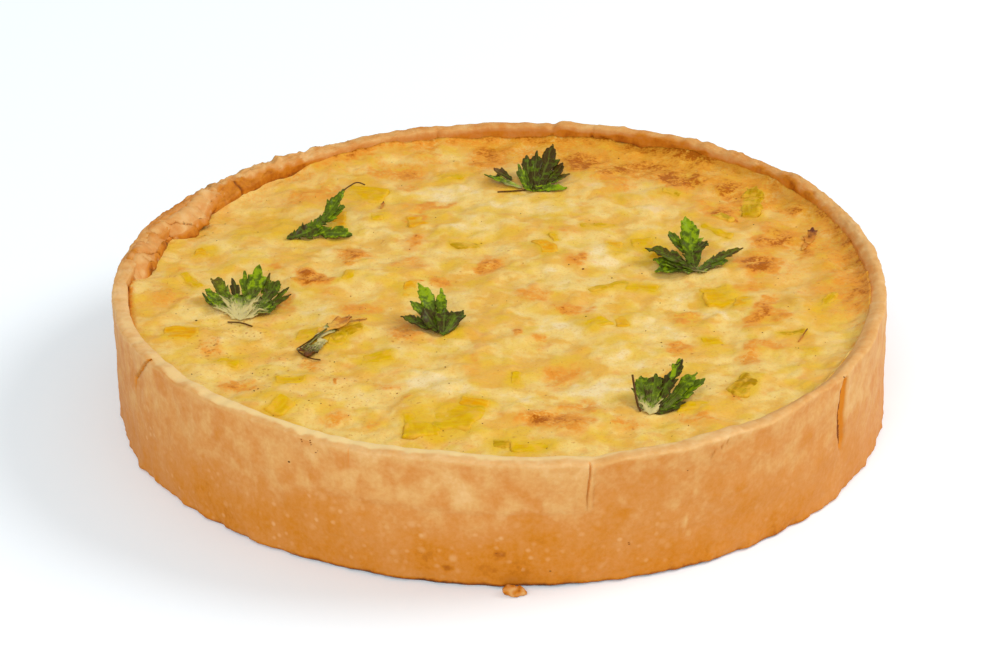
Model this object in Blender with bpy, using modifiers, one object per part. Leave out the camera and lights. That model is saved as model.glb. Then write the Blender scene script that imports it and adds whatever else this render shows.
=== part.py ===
"""A deep round leek quiche: a shortcrust case, a baked custard filling with leek, and six parsley leaves.

Metres, +Z up. The origin is the middle of the underside, and -Y is the front. Angles are degrees
round +Z from +X. The case and the filling are turned or gridded first and then pushed out of true
by the functions below, so that the wall, the filling and the leaves all follow one outline.
"""

import random
from math import atan2, cos, degrees, exp, hypot, pi, radians, sin, sqrt

import bmesh
import bpy
from mathutils import Matrix, Vector, noise
from mathutils.bvhtree import BVHTree

# Driving dimensions
MM = 0.001
RIM_RADIUS = 0.130
BASE_RADIUS = 0.128
HEIGHT = 0.0452
WALL = 0.0052
CROWN = 0.0020
CROWN_STEPS = 5
CROWN_FLATNESS = 0.6
FLOOR = 0.0045
FLOOR_FILLET = 0.004
FOOT_CHAMFER = 0.0014
FILLING_DROP = 0.0050
FILLING_SHARE = (HEIGHT - FILLING_DROP) / HEIGHT
MID_SHARE = 0.5
WALL_SHARES = (0.82, 0.69, 0.56, 0.43, 0.3, 0.17, 0.05)
GAP = 0.0003
CASE_COLUMNS = 132
FILLING_CELLS = 43

# Unevenness of the case: pushed in on the right, bulging on the left, its foot broader than its rim.
# Each pair is how far bumps stand out and how broad they are.
THREE_LOBED_RIM = 0.0023
THREE_LOBED_FOOT = 0.0015
TWO_LOBED_RIM = -0.0015
TWO_LOBED_FOOT = 0.0012
WALL_BUMPS = (0.0006, 0.016)
FOOT_BUMPS = (0.0014, 0.007)
FOOT_BUMPS_TOP = 0.16
INSIDE_BUMPS = (0.0005, 0.025)
FOOT_EXTRA = 0.0006
RIM_WAVES = (0.0011, 0.030)
RIM_RIPPLES = (0.00055, 0.009)
RIM_NICKS = ((-78.2, 2.5, 0.0010), (-36, 2, 0.0006))
CUSTARD_SWELLS = (0.0014, 0.034)
CUSTARD_BUMPS = (0.0011, 0.013)

# A fold of doubled dough inside the rim at the back left, and a proud patch on the front
FOLD_ANGLE = 149
FOLD_SPREAD = 17
FOLD_DEPTH = 0.0045
PATCH_FROM = -124
PATCH_TO = -79.2
PATCH_FADE = 12
PATCH_FOOT = 0.026
PATCH_FOOT_FADE = 0.003
PATCH_DEPTH = 0.0007

# Cracks in the outer wall: the path as (angle, height in mm), then width and depth in mm
CRACKS = {
    "right": (((-36.1, 48), (-35.3, 38), (-35.9, 29), (-34.7, 17)), 1.8, 3.4),
    "front": (((-79.4, 48), (-79.0, 40), (-79.3, 33), (-79.2, 27)), 1.2, 2.0),
    "left": (((-149, 49), (-153, 43), (-157, 38), (-156.6, 27.5)), 1.3, 2.2),
    "mid_right": (((-58.6, 43), (-60, 39.5), (-61.5, 35)), 0.9, 1.6),
}
CRACK_END_SHARE = 0.35
CRACK_FLOOR_SHARE = 0.3
CUTTER_PROUD = 0.003

# Leek pieces that stand out of the custard: place, length, width in mm, and turn in degrees
LEEKS = (
    (-105, -35, 11, 7, 0),
    (-48, 76, 16, 12, -25),
    (-29, 57, 9, 8, 20),
    (-14, 33, 10, 6, -12),
    (16, 32, 8, 11, 15),
    (38, 32, 6, 5, 0),
    (89, 69, 23, 5, 82),
    (76, 44, 11, 5, -42),
    (71, -10, 9, 10, 8),
    (80, -15, 6, 7, 0),
    (38, -29, 5, 9, 8),
    (29, -32, 6, 6, -30),
    (66, -43, 8, 6, 10),
    (76, -73, 14, 6, 66),
    (-35, 4, 7, 8, 5),
    (-41, -53, 11, 7, 5),
    (-67, -67, 8, 4, 0),
    (-88, -54, 8, 5, -20),
    (-27, -97, 10, 12, 4),
    (-14, -90, 13, 11, -18),
    (-68, -89, 9, 6, -25),
    (3, -66, 4, 7, 10),
    (9, -107, 12, 5, 4),
    (-52, -33, 16, 7, 37),
    (-20, 93, 11, 5, 5),
    (-4, 44, 13, 5, -4),
    (34, -6, 11, 4, 24),
    (49, -3, 10, 6, -5),
    (104, -17, 15, 4, 62),
    (-103, 27, 6, 5, 0),
    (-108, 5, 12, 4, -58),
    (41, -104, 14, 5, 6),
)
LEEK_THICK = 0.0024
LEEK_PROUD = 0.0009
LEEK_EDGE = 0.0007
LEEK_TILT = 5
SCRAP_PLACE = (-61, -47)
SCRAP_SIZE = (0.0105, 0.0085, 0.0035)

# Parsley leaves: the root's place in mm, then each lobe as the bearing of its tip from +Y towards +X,
# its reach and its lift in mm. A lobe that stands alone is narrow where it leaves the root.
LEAVES = (
    (
        (-87, -24),
        ((-60, 14, 3), (-36, 15.5, 7.5), (-10, 13.5, 7.5), (18, 20, 10), (45, 18.5, 7), (68, 19, 4)),
    ),
    (
        (-75.5, 40),
        ((46, 26, 9.5), (61, 22, 5.5), (91, 21, 0.8)),
    ),
    (
        (-20, -38),
        ((-57, 16, 3.3), (-39, 18, 6.6), (-22, 21, 10), (-2, 18, 9.5), (29, 11.5, 3.8)),
    ),
    (
        (10, 79),
        ((-62, 18, 2.5), (-24, 12, 5), (-5, 14, 7), (11, 15.5, 8), (27, 19, 9.5), (46, 16, 5.5), (66, 16, 2)),
    ),
    (
        (65, 6),
        ((-79, 16, 1), (-57, 22, 4.4), (-34, 19, 7), (-14, 21, 10.5), (6, 13, 5.5), (53, 18.5, 3.8)),
    ),
    (
        (45, -91),
        ((-15, 14, 6.5), (10, 15, 7.5), (31, 22, 10), (51, 22.5, 6), (70, 13.5, 1)),
    ),
)
LEAF_THICK = 0.0005
LEAF_ROWS = 3
LEAF_ROOT_SHARE = 0.12
WIDE_SPACING = 30
WIDE_NOTCH = 0.42
NEAR_NOTCH = 0.7
END_NOTCH = 0.5
END_SPREAD = 15
LOBE_FULLNESS = 0.88
LIFT_CURVE = 1.7
LEAF_CLEARANCE = 0.0007
LEAF_REACH_ROUND = 0.0026


def mix(low, high, share):
    return low + (high - low) * share


def smooth_step(low, high, value):
    share = min(max((value - low) / (high - low), 0), 1)
    return share * share * (3 - 2 * share)


def bumps(x, y, z, form):
    """Smooth unevenness of up to about 0.7 of the form's depth each way, with bumps of the form's size."""
    depth, size = form
    return depth * noise.noise(Vector((x, y, z)) / size)


def hump(angle, centre, spread):
    """1 at an angle and 0 away from it, in degrees."""
    away = (angle - centre + 180) % 360 - 180
    return exp(-((away / spread) ** 2))


def outline(angle, share):
    """The plain radius at an angle in degrees and a share of the height, 0 at the foot and 1 at the rim."""
    turn = radians(angle)
    three = mix(THREE_LOBED_FOOT, THREE_LOBED_RIM, share) * cos(3 * turn)
    two = mix(TWO_LOBED_FOOT, TWO_LOBED_RIM, share) * cos(2 * turn)
    return mix(BASE_RADIUS, RIM_RADIUS, share) - three + two


def outer_radius(angle, share):
    """The wall's outer face, with its bumps, its ragged foot and the proud patch."""
    radius = outline(angle, share)
    x, y, z = radius * cos(radians(angle)), radius * sin(radians(angle)), share * HEIGHT
    foot = bumps(x, y, z, FOOT_BUMPS) * (1 - smooth_step(0, FOOT_BUMPS_TOP, share))
    ledge = smooth_step(PATCH_FROM, PATCH_FROM + PATCH_FADE, angle)
    ledge *= 1 - smooth_step(PATCH_TO, PATCH_TO + 1, angle)
    patch = PATCH_DEPTH * ledge * smooth_step(PATCH_FOOT, PATCH_FOOT + PATCH_FOOT_FADE, z)
    return radius + bumps(x, y, z, WALL_BUMPS) + foot + patch


def inner_radius(angle, share):
    """The wall's inner face, thicker at the fold."""
    radius = outline(angle, share) - WALL - FOOT_EXTRA * (1 - share)
    wave = bumps(radius * cos(radians(angle)), radius * sin(radians(angle)), 0.3, INSIDE_BUMPS)
    fold = FOLD_DEPTH * hump(angle, FOLD_ANGLE, FOLD_SPREAD) * smooth_step(MID_SHARE, FILLING_SHARE, share)
    return radius + wave - fold


def rim_lift(angle):
    """How far the rim stands above or below its mean height."""
    x, y = RIM_RADIUS * cos(radians(angle)), RIM_RADIUS * sin(radians(angle))
    nicks = sum(depth * hump(angle, centre, spread) for centre, spread, depth in RIM_NICKS)
    return bumps(x, y, 0.1, RIM_WAVES) + bumps(x, y, 0.2, RIM_RIPPLES) - nicks


def custard(x, y):
    """Height of the custard's skin."""
    return HEIGHT - FILLING_DROP + bumps(x, y, 0, CUSTARD_SWELLS) + bumps(x, y, 0.4, CUSTARD_BUMPS)


def finish(obj, name, colour, roughness):
    """Gives an object its own Principled material, the colour as linear red, green and blue."""
    material = bpy.data.materials.new(name)
    material.use_nodes = True
    shader = material.node_tree.nodes["Principled BSDF"]
    shader.inputs["Base Color"].default_value = (*colour, 1)
    shader.inputs["Roughness"].default_value = roughness
    shader.inputs["Metallic"].default_value = 0
    obj.data.materials.clear()
    obj.data.materials.append(material)


def add_object(name, form, collection):
    """Makes an object of a bmesh form and frees the form."""
    mesh = bpy.data.meshes.new(name)
    form.to_mesh(mesh)
    form.free()
    obj = bpy.data.objects.new(name, mesh)
    collection.objects.link(obj)
    return obj


def apply_modifiers(obj):
    """Replaces an object's mesh with the one that its modifiers make."""
    bpy.context.view_layer.update()
    graph = bpy.context.evaluated_depsgraph_get()
    mesh = bpy.data.meshes.new_from_object(obj.evaluated_get(graph))
    obj.modifiers.clear()
    obj.data = mesh


def turned_profile():
    """The case's half section: from the floor's middle up the inside, over the rim and down to the foot."""
    inner = RIM_RADIUS - WALL
    halfway = 0.55 * inner
    points = [(0, FLOOR), (halfway, FLOOR), (inner - FLOOR_FILLET, FLOOR), (inner, FLOOR + FLOOR_FILLET)]
    points += [(inner, HEIGHT * share) for share in (MID_SHARE, FILLING_SHARE)]
    for step in range(CROWN_STEPS + 1):
        turn = pi * (1 - step / CROWN_STEPS)
        rise = max(sin(turn), 0) ** CROWN_FLATNESS
        points.append((RIM_RADIUS - WALL / 2 * (1 - cos(turn)), HEIGHT - CROWN + CROWN * rise))
    points += [(RIM_RADIUS, HEIGHT * share) for share in WALL_SHARES]
    points += [(RIM_RADIUS - FOOT_CHAMFER, 0), (halfway, 0), (0, 0)]
    return points


def shape_case(place):
    """Moves a point of the true turned case onto the uneven one."""
    radius = hypot(place.x, place.y)
    angle = degrees(atan2(place.y, place.x))
    share = min(place.z / HEIGHT, 1)
    outer, inner = outer_radius(angle, share), inner_radius(angle, share)
    true_inner = RIM_RADIUS - WALL
    if radius < true_inner:
        radius *= inner / true_inner
    else:
        radius = mix(outer, inner, (RIM_RADIUS - radius) / WALL)
    height = place.z + rim_lift(angle) * smooth_step(FILLING_SHARE, 0.96, share)
    return Vector((radius * cos(radians(angle)), radius * sin(radians(angle)), height))


def crack_cutter(name, path, width, depth, collection):
    """A ribbon along a crack's path, from outside the wall inwards, thickened to a wedge."""
    form = bmesh.new()
    bmesh.ops.create_grid(form, x_segments=len(path) - 1, y_segments=1, size=1)
    form.verts.ensure_lookup_table()
    ordered = sorted(form.verts, key=lambda vert: (round(vert.co.x, 4), vert.co.y))
    widths = {}
    for index, vert in enumerate(ordered):
        angle, height = path[index // 2]
        inside = index % 2
        wall = outer_radius(angle, min(height * MM / HEIGHT, 1))
        radius = wall - depth * MM if inside else wall + CUTTER_PROUD
        vert.co = (radius * cos(radians(angle)), radius * sin(radians(angle)), height * MM)
        narrowing = mix(1, CRACK_END_SHARE, (index // 2) / (len(path) - 1))
        widths[vert.index] = narrowing * (CRACK_FLOOR_SHARE if inside else 1)
    obj = add_object(f"cutter_{name}", form, collection)
    group = obj.vertex_groups.new(name="width")
    for index, weight in widths.items():
        group.add([index], weight, "REPLACE")
    wedge = obj.modifiers.new("Wedge", "SOLIDIFY")
    wedge.thickness = width * MM
    wedge.offset = 0
    wedge.vertex_group = group.name
    obj.hide_render = True
    obj.display_type = "WIRE"
    return obj


def build_crust(parts, cutters):
    """The shortcrust case: turned, pushed out of true, then cut by its cracks."""
    form = bmesh.new()
    verts = [form.verts.new((x, 0, z)) for x, z in turned_profile()]
    for first, second in zip(verts, verts[1:]):
        form.edges.new((first, second))
    crust = add_object("crust", form, parts)
    turning = crust.modifiers.new("Turning", "SCREW")
    turning.steps = turning.render_steps = CASE_COLUMNS
    turning.use_merge_vertices = True
    turning.merge_threshold = 0.0001
    apply_modifiers(crust)
    for vert in crust.data.vertices:
        vert.co = shape_case(vert.co)
    for name, (path, width, depth) in CRACKS.items():
        cut = crust.modifiers.new(f"Crack {name}", "BOOLEAN")
        cut.object = crack_cutter(name, path, width, depth, cutters)
        cut.operation = "DIFFERENCE"
    crust.data.shade_smooth()
    crust.data.set_sharp_from_angle(angle=radians(40))
    finish(crust, "baked shortcrust", (0.66, 0.36, 0.14), 0.6)
    return crust


def build_custard(parts):
    """The custard alone: a grid rounded to the case's outline, raised to its skin and closed below."""
    form = bmesh.new()
    bmesh.ops.create_grid(form, x_segments=FILLING_CELLS, y_segments=FILLING_CELLS, size=1)
    for vert in form.verts:
        x, y = vert.co.x, vert.co.y
        disc = Vector((x * sqrt(1 - y * y / 2), y * sqrt(1 - x * x / 2), 0))
        angle = degrees(atan2(disc.y, disc.x))
        disc *= inner_radius(angle, FILLING_SHARE) - GAP
        vert.co = (disc.x, disc.y, custard(disc.x, disc.y))
    rim = [edge for edge in form.edges if edge.is_boundary]
    fillet_top = (FLOOR + FLOOR_FILLET + GAP, GAP)
    fillet_foot = (FLOOR + GAP, FLOOR_FILLET + 2 * GAP)
    for height, inset in ((MID_SHARE * HEIGHT, GAP), fillet_top, fillet_foot):
        made = bmesh.ops.extrude_edge_only(form, edges=rim)["geom"]
        rim = [item for item in made if isinstance(item, bmesh.types.BMEdge)]
        for vert in (item for item in made if isinstance(item, bmesh.types.BMVert)):
            angle = degrees(atan2(vert.co.y, vert.co.x))
            radius = inner_radius(angle, height / HEIGHT) - inset
            vert.co = (radius * cos(radians(angle)), radius * sin(radians(angle)), height)
    bmesh.ops.edgeloop_fill(form, edges=rim)
    bmesh.ops.recalc_face_normals(form, faces=form.faces)
    return add_object("filling", form, parts)


def add_leek(place, size, turn, tilts, name, collection):
    """One leek slab, its upper edges eased, sunk in the custard but for its top."""
    form = bmesh.new()
    bmesh.ops.create_cube(form, size=1)
    bmesh.ops.scale(form, vec=(*size, LEEK_THICK), verts=form.verts)
    upper = [edge for edge in form.edges if all(vert.co.z > 0 for vert in edge.verts)]
    bmesh.ops.bevel(form, geom=upper, offset=LEEK_EDGE, segments=1, affect="EDGES")
    slope = Matrix.Rotation(radians(tilts[0]), 4, "X") @ Matrix.Rotation(radians(tilts[1]), 4, "Y")
    centre = Vector((*place, custard(*place) + LEEK_PROUD - LEEK_THICK / 2))
    lay = Matrix.Translation(centre) @ Matrix.Rotation(radians(turn), 4, "Z") @ slope
    bmesh.ops.transform(form, matrix=lay, verts=form.verts)
    return add_object(name, form, collection)


def add_scrap(collection):
    """A scrap of wilted leaf half sunk in the custard."""
    form = bmesh.new()
    bmesh.ops.create_icosphere(form, subdivisions=2, radius=1)
    x, y = SCRAP_PLACE[0] * MM, SCRAP_PLACE[1] * MM
    half = Vector(SCRAP_SIZE) / 2
    lay = Matrix.Translation((x, y, custard(x, y))) @ Matrix.Diagonal((*half, 1))
    bmesh.ops.transform(form, matrix=lay, verts=form.verts)
    return add_object("scrap", form, collection)


def build_filling(parts):
    """The custard with its leek pieces fused on by one union."""
    filling = build_custard(parts)
    toppings = bpy.data.collections.new("toppings")
    bpy.context.scene.collection.children.link(toppings)
    chance = random.Random(5)
    for index, (x, y, length, width, turn) in enumerate(LEEKS):
        tilts = (chance.uniform(-LEEK_TILT, LEEK_TILT), chance.uniform(-LEEK_TILT, LEEK_TILT))
        add_leek((x * MM, y * MM), (length * MM, width * MM), turn, tilts, f"leek_{index}", toppings)
    add_scrap(toppings)
    union = filling.modifiers.new("Leeks", "BOOLEAN")
    union.operation = "UNION"
    union.operand_type = "COLLECTION"
    union.collection = toppings
    apply_modifiers(filling)
    for obj in list(toppings.objects):
        bpy.data.objects.remove(obj)
    bpy.data.collections.remove(toppings)
    filling.data.shade_smooth()
    filling.data.set_sharp_from_angle(angle=radians(35))
    finish(filling, "baked custard", (0.86, 0.58, 0.18), 0.45)
    return filling


def leaf_columns(lobes):
    """The leaf's edge as (bearing, reach, lift) from side to side: tips, their sides and the notches."""
    ends = []
    for lobe, side in ((lobes[0], -1), (lobes[-1], 1)):
        ends.append((lobe[0] + side * END_SPREAD, lobe[1] * END_NOTCH, lobe[2] * END_NOTCH))
    notches = [ends[0]]
    for left, right in zip(lobes, lobes[1:]):
        depth = WIDE_NOTCH if right[0] - left[0] > WIDE_SPACING else NEAR_NOTCH
        reach = depth * min(left[1], right[1])
        notches.append(((left[0] + right[0]) / 2, reach, depth * min(left[2], right[2])))
    notches.append(ends[1])
    columns = [notches[0]]
    for lobe, before, after in zip(lobes, notches, notches[1:]):
        for notch, follow in ((before, lobe), (after, after)):
            bearing = mix(lobe[0], notch[0], 0.5)
            side = [mix(notch[index], lobe[index], LOBE_FULLNESS) for index in (1, 2)]
            columns.append((bearing, *side))
            columns.append(follow)
    return columns


def build_leaf(name, root, lobes, skin, parts):
    """A thin wavy leaf that lies on the filling at its root and lifts towards the tips of its lobes."""
    columns = leaf_columns(lobes)
    form = bmesh.new()
    bmesh.ops.create_grid(form, x_segments=len(columns) - 1, y_segments=LEAF_ROWS, size=1)
    rises = {}
    for vert in form.verts:
        bearing, reach, lift = columns[round((vert.co.x + 1) / 2 * (len(columns) - 1))]
        share = mix(LEAF_ROOT_SHARE, 1, (vert.co.y + 1) / 2)
        distance = share * reach * MM
        rises[vert] = lift * MM * share**LIFT_CURVE
        vert.co.x = root[0] * MM + distance * sin(radians(bearing))
        vert.co.y = root[1] * MM + distance * cos(radians(bearing))
    for vert in form.verts:
        vert.co.z = rest_height(skin, vert.co.x, vert.co.y) + rises[vert]
    bmesh.ops.triangulate(form, faces=form.faces, quad_method="FIXED")
    leaf = add_object(name, form, parts)
    blade = leaf.modifiers.new("Blade", "SOLIDIFY")
    blade.thickness = LEAF_THICK
    blade.offset = 0
    apply_modifiers(leaf)
    leaf.data.shade_smooth()
    finish(leaf, f"{name} green", (0.07, 0.16, 0.02), 0.55)
    return leaf


def rest_height(skin, x, y):
    """A height for a leaf's middle that keeps it clear of the filling at a place and close round it."""
    highest = 0
    for step in range(9):
        turn = step * pi / 4
        reach = LEAF_REACH_ROUND if step < 8 else 0
        start = Vector((x + reach * cos(turn), y + reach * sin(turn), 1))
        hit = skin.ray_cast(start, Vector((0, 0, -1)))[0]
        if hit:
            highest = max(highest, hit.z)
    return highest + LEAF_CLEARANCE


def build_quiche():
    for obj in list(bpy.data.objects):
        bpy.data.objects.remove(obj)
    parts = bpy.data.collections.new("leek_quiche")
    cutters = bpy.data.collections.new("cutters")
    for collection in (parts, cutters):
        bpy.context.scene.collection.children.link(collection)
    build_crust(parts, cutters)
    filling = build_filling(parts)
    skin = BVHTree.FromPolygons(
        [vert.co for vert in filling.data.vertices],
        [tuple(polygon.vertices) for polygon in filling.data.polygons],
    )
    for index, (root, lobes) in enumerate(LEAVES, start=1):
        build_leaf(f"parsley_{index}", root, lobes, skin, parts)


build_quiche()
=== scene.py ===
import random
from math import atan2, cos, degrees, exp, floor, hypot, pi, radians, sin, sqrt

import bpy
import numpy as np
from mathutils import Matrix, Vector, noise
from mathutils.bvhtree import BVHTree


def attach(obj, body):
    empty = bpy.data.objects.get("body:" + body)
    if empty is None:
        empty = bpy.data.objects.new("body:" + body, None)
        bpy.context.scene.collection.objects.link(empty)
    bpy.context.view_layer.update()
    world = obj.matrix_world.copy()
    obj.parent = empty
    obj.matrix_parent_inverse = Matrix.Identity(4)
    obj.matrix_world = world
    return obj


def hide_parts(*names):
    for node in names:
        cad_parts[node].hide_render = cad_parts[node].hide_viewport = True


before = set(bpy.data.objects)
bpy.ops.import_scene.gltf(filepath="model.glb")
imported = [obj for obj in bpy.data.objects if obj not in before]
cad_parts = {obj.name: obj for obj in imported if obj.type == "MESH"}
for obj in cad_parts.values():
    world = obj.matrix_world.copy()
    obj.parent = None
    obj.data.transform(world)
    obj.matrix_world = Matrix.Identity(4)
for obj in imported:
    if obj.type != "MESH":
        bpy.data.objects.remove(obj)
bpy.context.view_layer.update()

# The pastry case
# The real one is shortcrust dough pressed into a deep round tin, trimmed at the rim and baked until
# it is firm and golden. It has shrunk a little out of true, and it cracked as it cooled.
MM = 0.001
RIM_RADIUS = 0.130
BASE_RADIUS = 0.128
HEIGHT = 0.0452
WALL = 0.0052
CROWN = 0.0015
CROWN_STEPS = 18
CROWN_FLATNESS = 0.42
CROWN_FOOT = 1 - CROWN / HEIGHT
FLOOR = 0.0045
FLOOR_FILLET = 0.004
FOOT_CHAMFER_SHARE = 0.27
FOOT_CHAMFER = 0.02
FILLING_DROP = 0.0050
FILLING_SHARE = (HEIGHT - FILLING_DROP) / HEIGHT
MID_SHARE = 0.5
THREE_LOBED_RIM = 0.0023
THREE_LOBED_FOOT = 0.0015
TWO_LOBED_RIM = -0.0015
TWO_LOBED_FOOT = 0.0012
WALL_BUMPS = (0.0006, 0.016)
FOOT_BUMPS = (0.0014, 0.007)
FOOT_BUMPS_TOP = 0.16
INSIDE_BUMPS = (0.0005, 0.025)
FOOT_EXTRA = 0.0006
RIM_WAVES = (0.0011, 0.030)
RIM_RIPPLES = (0.00055, 0.009)
# Given as angle, spread and size: nicks in the rim, flakes that stand up from it, places where it rises
# above its waves, creases down its inner face, and stretches where that face has sunk
RIM_NICKS = ((-78.2, 2.5, 0.0010), (-36, 2, 0.0006), (81.7, 0.8, 0.0012))
RIM_FLAKES = (
    (131.2, 0.5, 0.0014), (126.5, 0.45, 0.0010), (138, 0.8, 0.0008), (145, 0.7, 0.0007), (151, 0.8, 0.0006),
    (121, 0.5, 0.0005), (57, 0.6, 0.0007), (48, 0.4, 0.0005), (70, 0.5, 0.0005),
)
RIM_RISES = (
    (35, 3.2, 0.0018), (28, 3.5, 0.0006), (14, 8, 0.0006), (3, 4, 0.0006), (54.5, 1.2, 0.0008),
    (58, 1.2, 0.0009), (66, 12, 0.0007), (80, 2.2, 0.0008), (92, 3, 0.0006), (113, 4.5, 0.0013),
    (121, 2.5, 0.0006), (146, 14, 0.0006), (162, 5, 0.0004),
)
INNER_CREASES = (
    (74.9, 0.28, 0.0006), (81.7, 0.25, 0.0004), (101.5, 0.3, 0.0005), (108.9, 0.3, 0.0004),
    (127, 0.4, 0.0003), (141.9, 0.3, 0.0007), (-177.6, 0.9, 0.0008),
)
SIDE_SLUMPS = ((12, 26, 0.0014), (-36, 18, 0.0015))
# How much darker a crease is for each metre of its depth
CREASE_SHADE = 300
RIM_CRUMBLE = (0.0006, 0.0042)
# The broken crest at the back left, coarser than the rest
CREST_GRAIN = (0.0010, 0.0022)
CREST_ANGLE = 140
CREST_SPREAD = 36
DIMPLES = (0.00035, 0.0055)
GRAIN = (0.00016, 0.0018)
FOOT_CRUMBLE = (0.0007, 0.0026)
FOLD_ANGLE = 149
FOLD_SPREAD = 17
FOLD_DEPTH = 0.0045
FOLD_SLUMP = 0.0028
PATCH_FROM = -124
PATCH_TO = -79.2
PATCH_FADE = 12
PATCH_FOOT = 0.026
PATCH_FOOT_FADE = 0.003
PATCH_DEPTH = 0.0007
# Cracks: the path down the wall in degrees and mm, the width and depth in mm, how much shallower the right
# side is than the left, how far the lips stand out and how brightly the crumb inside shows
CRACKS = {
    "right": (((-36.5, 44.8), (-36.9, 38), (-37.0, 28), (-35.6, 17)), 4.6, 2.8, 0.8, 0.5, 1.0),
    "front": (((-79.5, 48), (-79.5, 40), (-79.7, 33), (-79.7, 27.5)), 0.6, 1.0, 0, 0.3, 0.5),
    "left": (((-149.6, 47), (-152, 41), (-155.2, 34), (-156, 27.5)), 1.3, 1.5, 0.4, 0.4, 0.6),
    "mid_right": (((-60, 44.5), (-60.6, 42.5), (-62.6, 40.5), (-62.9, 36.5)), 0.7, 0.7, 0, 0, 0.5),
    "seam": (((-111, 46.5), (-111.1, 43), (-111.2, 38)), 0.6, 0.3, 0, 0.2, 0.4),
}
CRACK_LIP = 0.00025
# The share of a slanting crack's width, from the left, that lies in its own shadow, darkened with painted
# shade
CRACK_DARK_SIDE = 0.66
# Stains on the wall: angle, height, half width and half height in mm, and how much darker, or below 0 how
# much paler, they are
WALL_MARKS = (
    (-117.6, 44, 2.2, 1.6, 0.14), (-98.0, 6.5, 2.2, 1.2, 0.2), (-91.0, 12.0, 2.0, 1.6, 0.2),
    (-66.0, 17.5, 0.7, 3.2, -0.25), (-65.2, 13.0, 0.7, 1.5, -0.2), (-117.6, 28, 0.6, 10, -0.07),
    (-48, 24, 0.7, 3.5, -0.1), (-127, 22, 0.6, 5, -0.08),
)
# How much darker, or below 0 paler, the crest of the rim is, as angle, spread and strength
CREST_TONES = (
    (-95, 75, -0.16), (-165, 20, -0.09), (75, 60, -0.08), (10, 30, -0.1), (158, 8, 0.16), (128, 22, -0.1),
)
# The rim's inner side by angle: how far down its pale top reaches, from 0 at the outer edge to 1 at the
# filling, and how dark it is below that, its brown deepened by painted shade
RIM_FACE = (
    (-180, 0.45, 0.64), (-165, 0.5, 0.6), (-150, 0.8, 0.5), (-60, 0.85, 0.5), (-20, 0.6, 0.5),
    (-6, 0.22, 0.5), (2, 0.2, 0.52), (10, 0.26, 0.54), (18, 0.27, 0.56), (26, 0.25, 0.7), (34, 0.28, 0.8),
    (42, 0.23, 0.74), (46, 0.32, 0.72), (50, 0.55, 0.7), (54, 0.42, 0.72), (58, 0.31, 0.74),
    (66, 0.29, 0.74), (73.6, 0.42, 0.8), (84, 0.33, 0.62), (94, 0.34, 0.6), (105, 0.6, 0.58),
    (112, 0.95, 0.5), (116, 0.9, 0.52), (121, 0.62, 0.68), (127, 0.46, 0.78), (136, 0.44, 0.8),
    (143, 0.42, 0.78), (149, 0.42, 0.76), (153, 0.42, 0.74), (160, 0.5, 0.6), (170, 0.5, 0.55),
    (180, 0.45, 0.64),
)
RIM_FACE_FADE = 0.09
CROWN_VIEW_SHARE = 0.33
FOLD_VIEW_SHARE = 0.85
PLAIN_COLUMNS = 820
CRACK_COLUMNS = 34
CRACK_REACH = 2.0
WALL_STEP = 0.00095
CREASE_REACH = 0.8
CREASE_COLUMNS = 9
LEDGE_COLUMNS = 12
NARROWEST_COLUMN = 0.06
WELD_GAP = 1e-6
# What is painted on the case for its material: how brown, with painted shade and sheen, how many pale
# flecks, the crumb inside a crack, with 1 more for painted shade on its shadowed side, and the custard that
# has run over it
CRUST_MARKS = ("bake_shade_and_sheen", "flecks", "inside_crack", "film")


def mix(low, high, share):
    return low + (high - low) * share


def smooth_step(low, high, value):
    share = min(max((value - low) / (high - low), 0), 1)
    return share * share * (3 - 2 * share)


def around(angle, radius):
    """East and north of the middle, at an angle in degrees."""
    return radius * cos(radians(angle)), radius * sin(radians(angle))


def wave(x, y, z, size):
    """Smooth unevenness of up to about 0.7 each way, with bumps of a size."""
    return noise.noise(Vector((x, y, z)) / size)


def bumps(x, y, z, form):
    """Smooth unevenness given as its depth and the size of its bumps."""
    depth, size = form
    return depth * wave(x, y, z, size)


def hump(angle, centre, spread):
    """1 at an angle and 0 away from it, in degrees."""
    away = (angle - centre + 180) % 360 - 180
    return exp(-((away / spread) ** 2))


def humps(angle, places):
    """The sum of humps given as angle, spread and size."""
    return sum(size * hump(angle, centre, spread) for centre, spread, size in places)


def outline(angle, share):
    """The plain radius at an angle in degrees and a share of the height, 0 at the foot and 1 at the rim."""
    turn = radians(angle)
    three = mix(THREE_LOBED_FOOT, THREE_LOBED_RIM, share) * cos(3 * turn)
    two = mix(TWO_LOBED_FOOT, TWO_LOBED_RIM, share) * cos(2 * turn)
    return mix(BASE_RADIUS, RIM_RADIUS, share) - three + two


def patch_share(angle, share):
    """1 on the proud patch of dough at the front, 0 off it."""
    ledge = smooth_step(PATCH_FROM, PATCH_FROM + PATCH_FADE, angle)
    ledge *= 1 - smooth_step(PATCH_TO, PATCH_TO + 0.5, angle)
    return ledge * smooth_step(PATCH_FOOT, PATCH_FOOT + PATCH_FOOT_FADE, share * HEIGHT)


def outer_radius(angle, share):
    """The wall's outer face, with its bumps, its ragged foot and the proud patch."""
    radius = outline(angle, share)
    x, y = around(angle, radius)
    z = share * HEIGHT
    foot = bumps(x, y, z, FOOT_BUMPS) * (1 - smooth_step(0, FOOT_BUMPS_TOP, share))
    foot *= 0.55 + 0.45 * hump(angle, -42, 35)
    return radius + bumps(x, y, z, WALL_BUMPS) + foot + PATCH_DEPTH * patch_share(angle, share)


def inner_radius(angle, share):
    """The wall's inner face, thicker at the fold."""
    radius = outline(angle, share) - WALL - FOOT_EXTRA * (1 - share)
    fold = FOLD_DEPTH * hump(angle, FOLD_ANGLE, FOLD_SPREAD) * smooth_step(MID_SHARE, FILLING_SHARE, share)
    return radius + bumps(*around(angle, radius), 0.3, INSIDE_BUMPS) - fold


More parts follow.
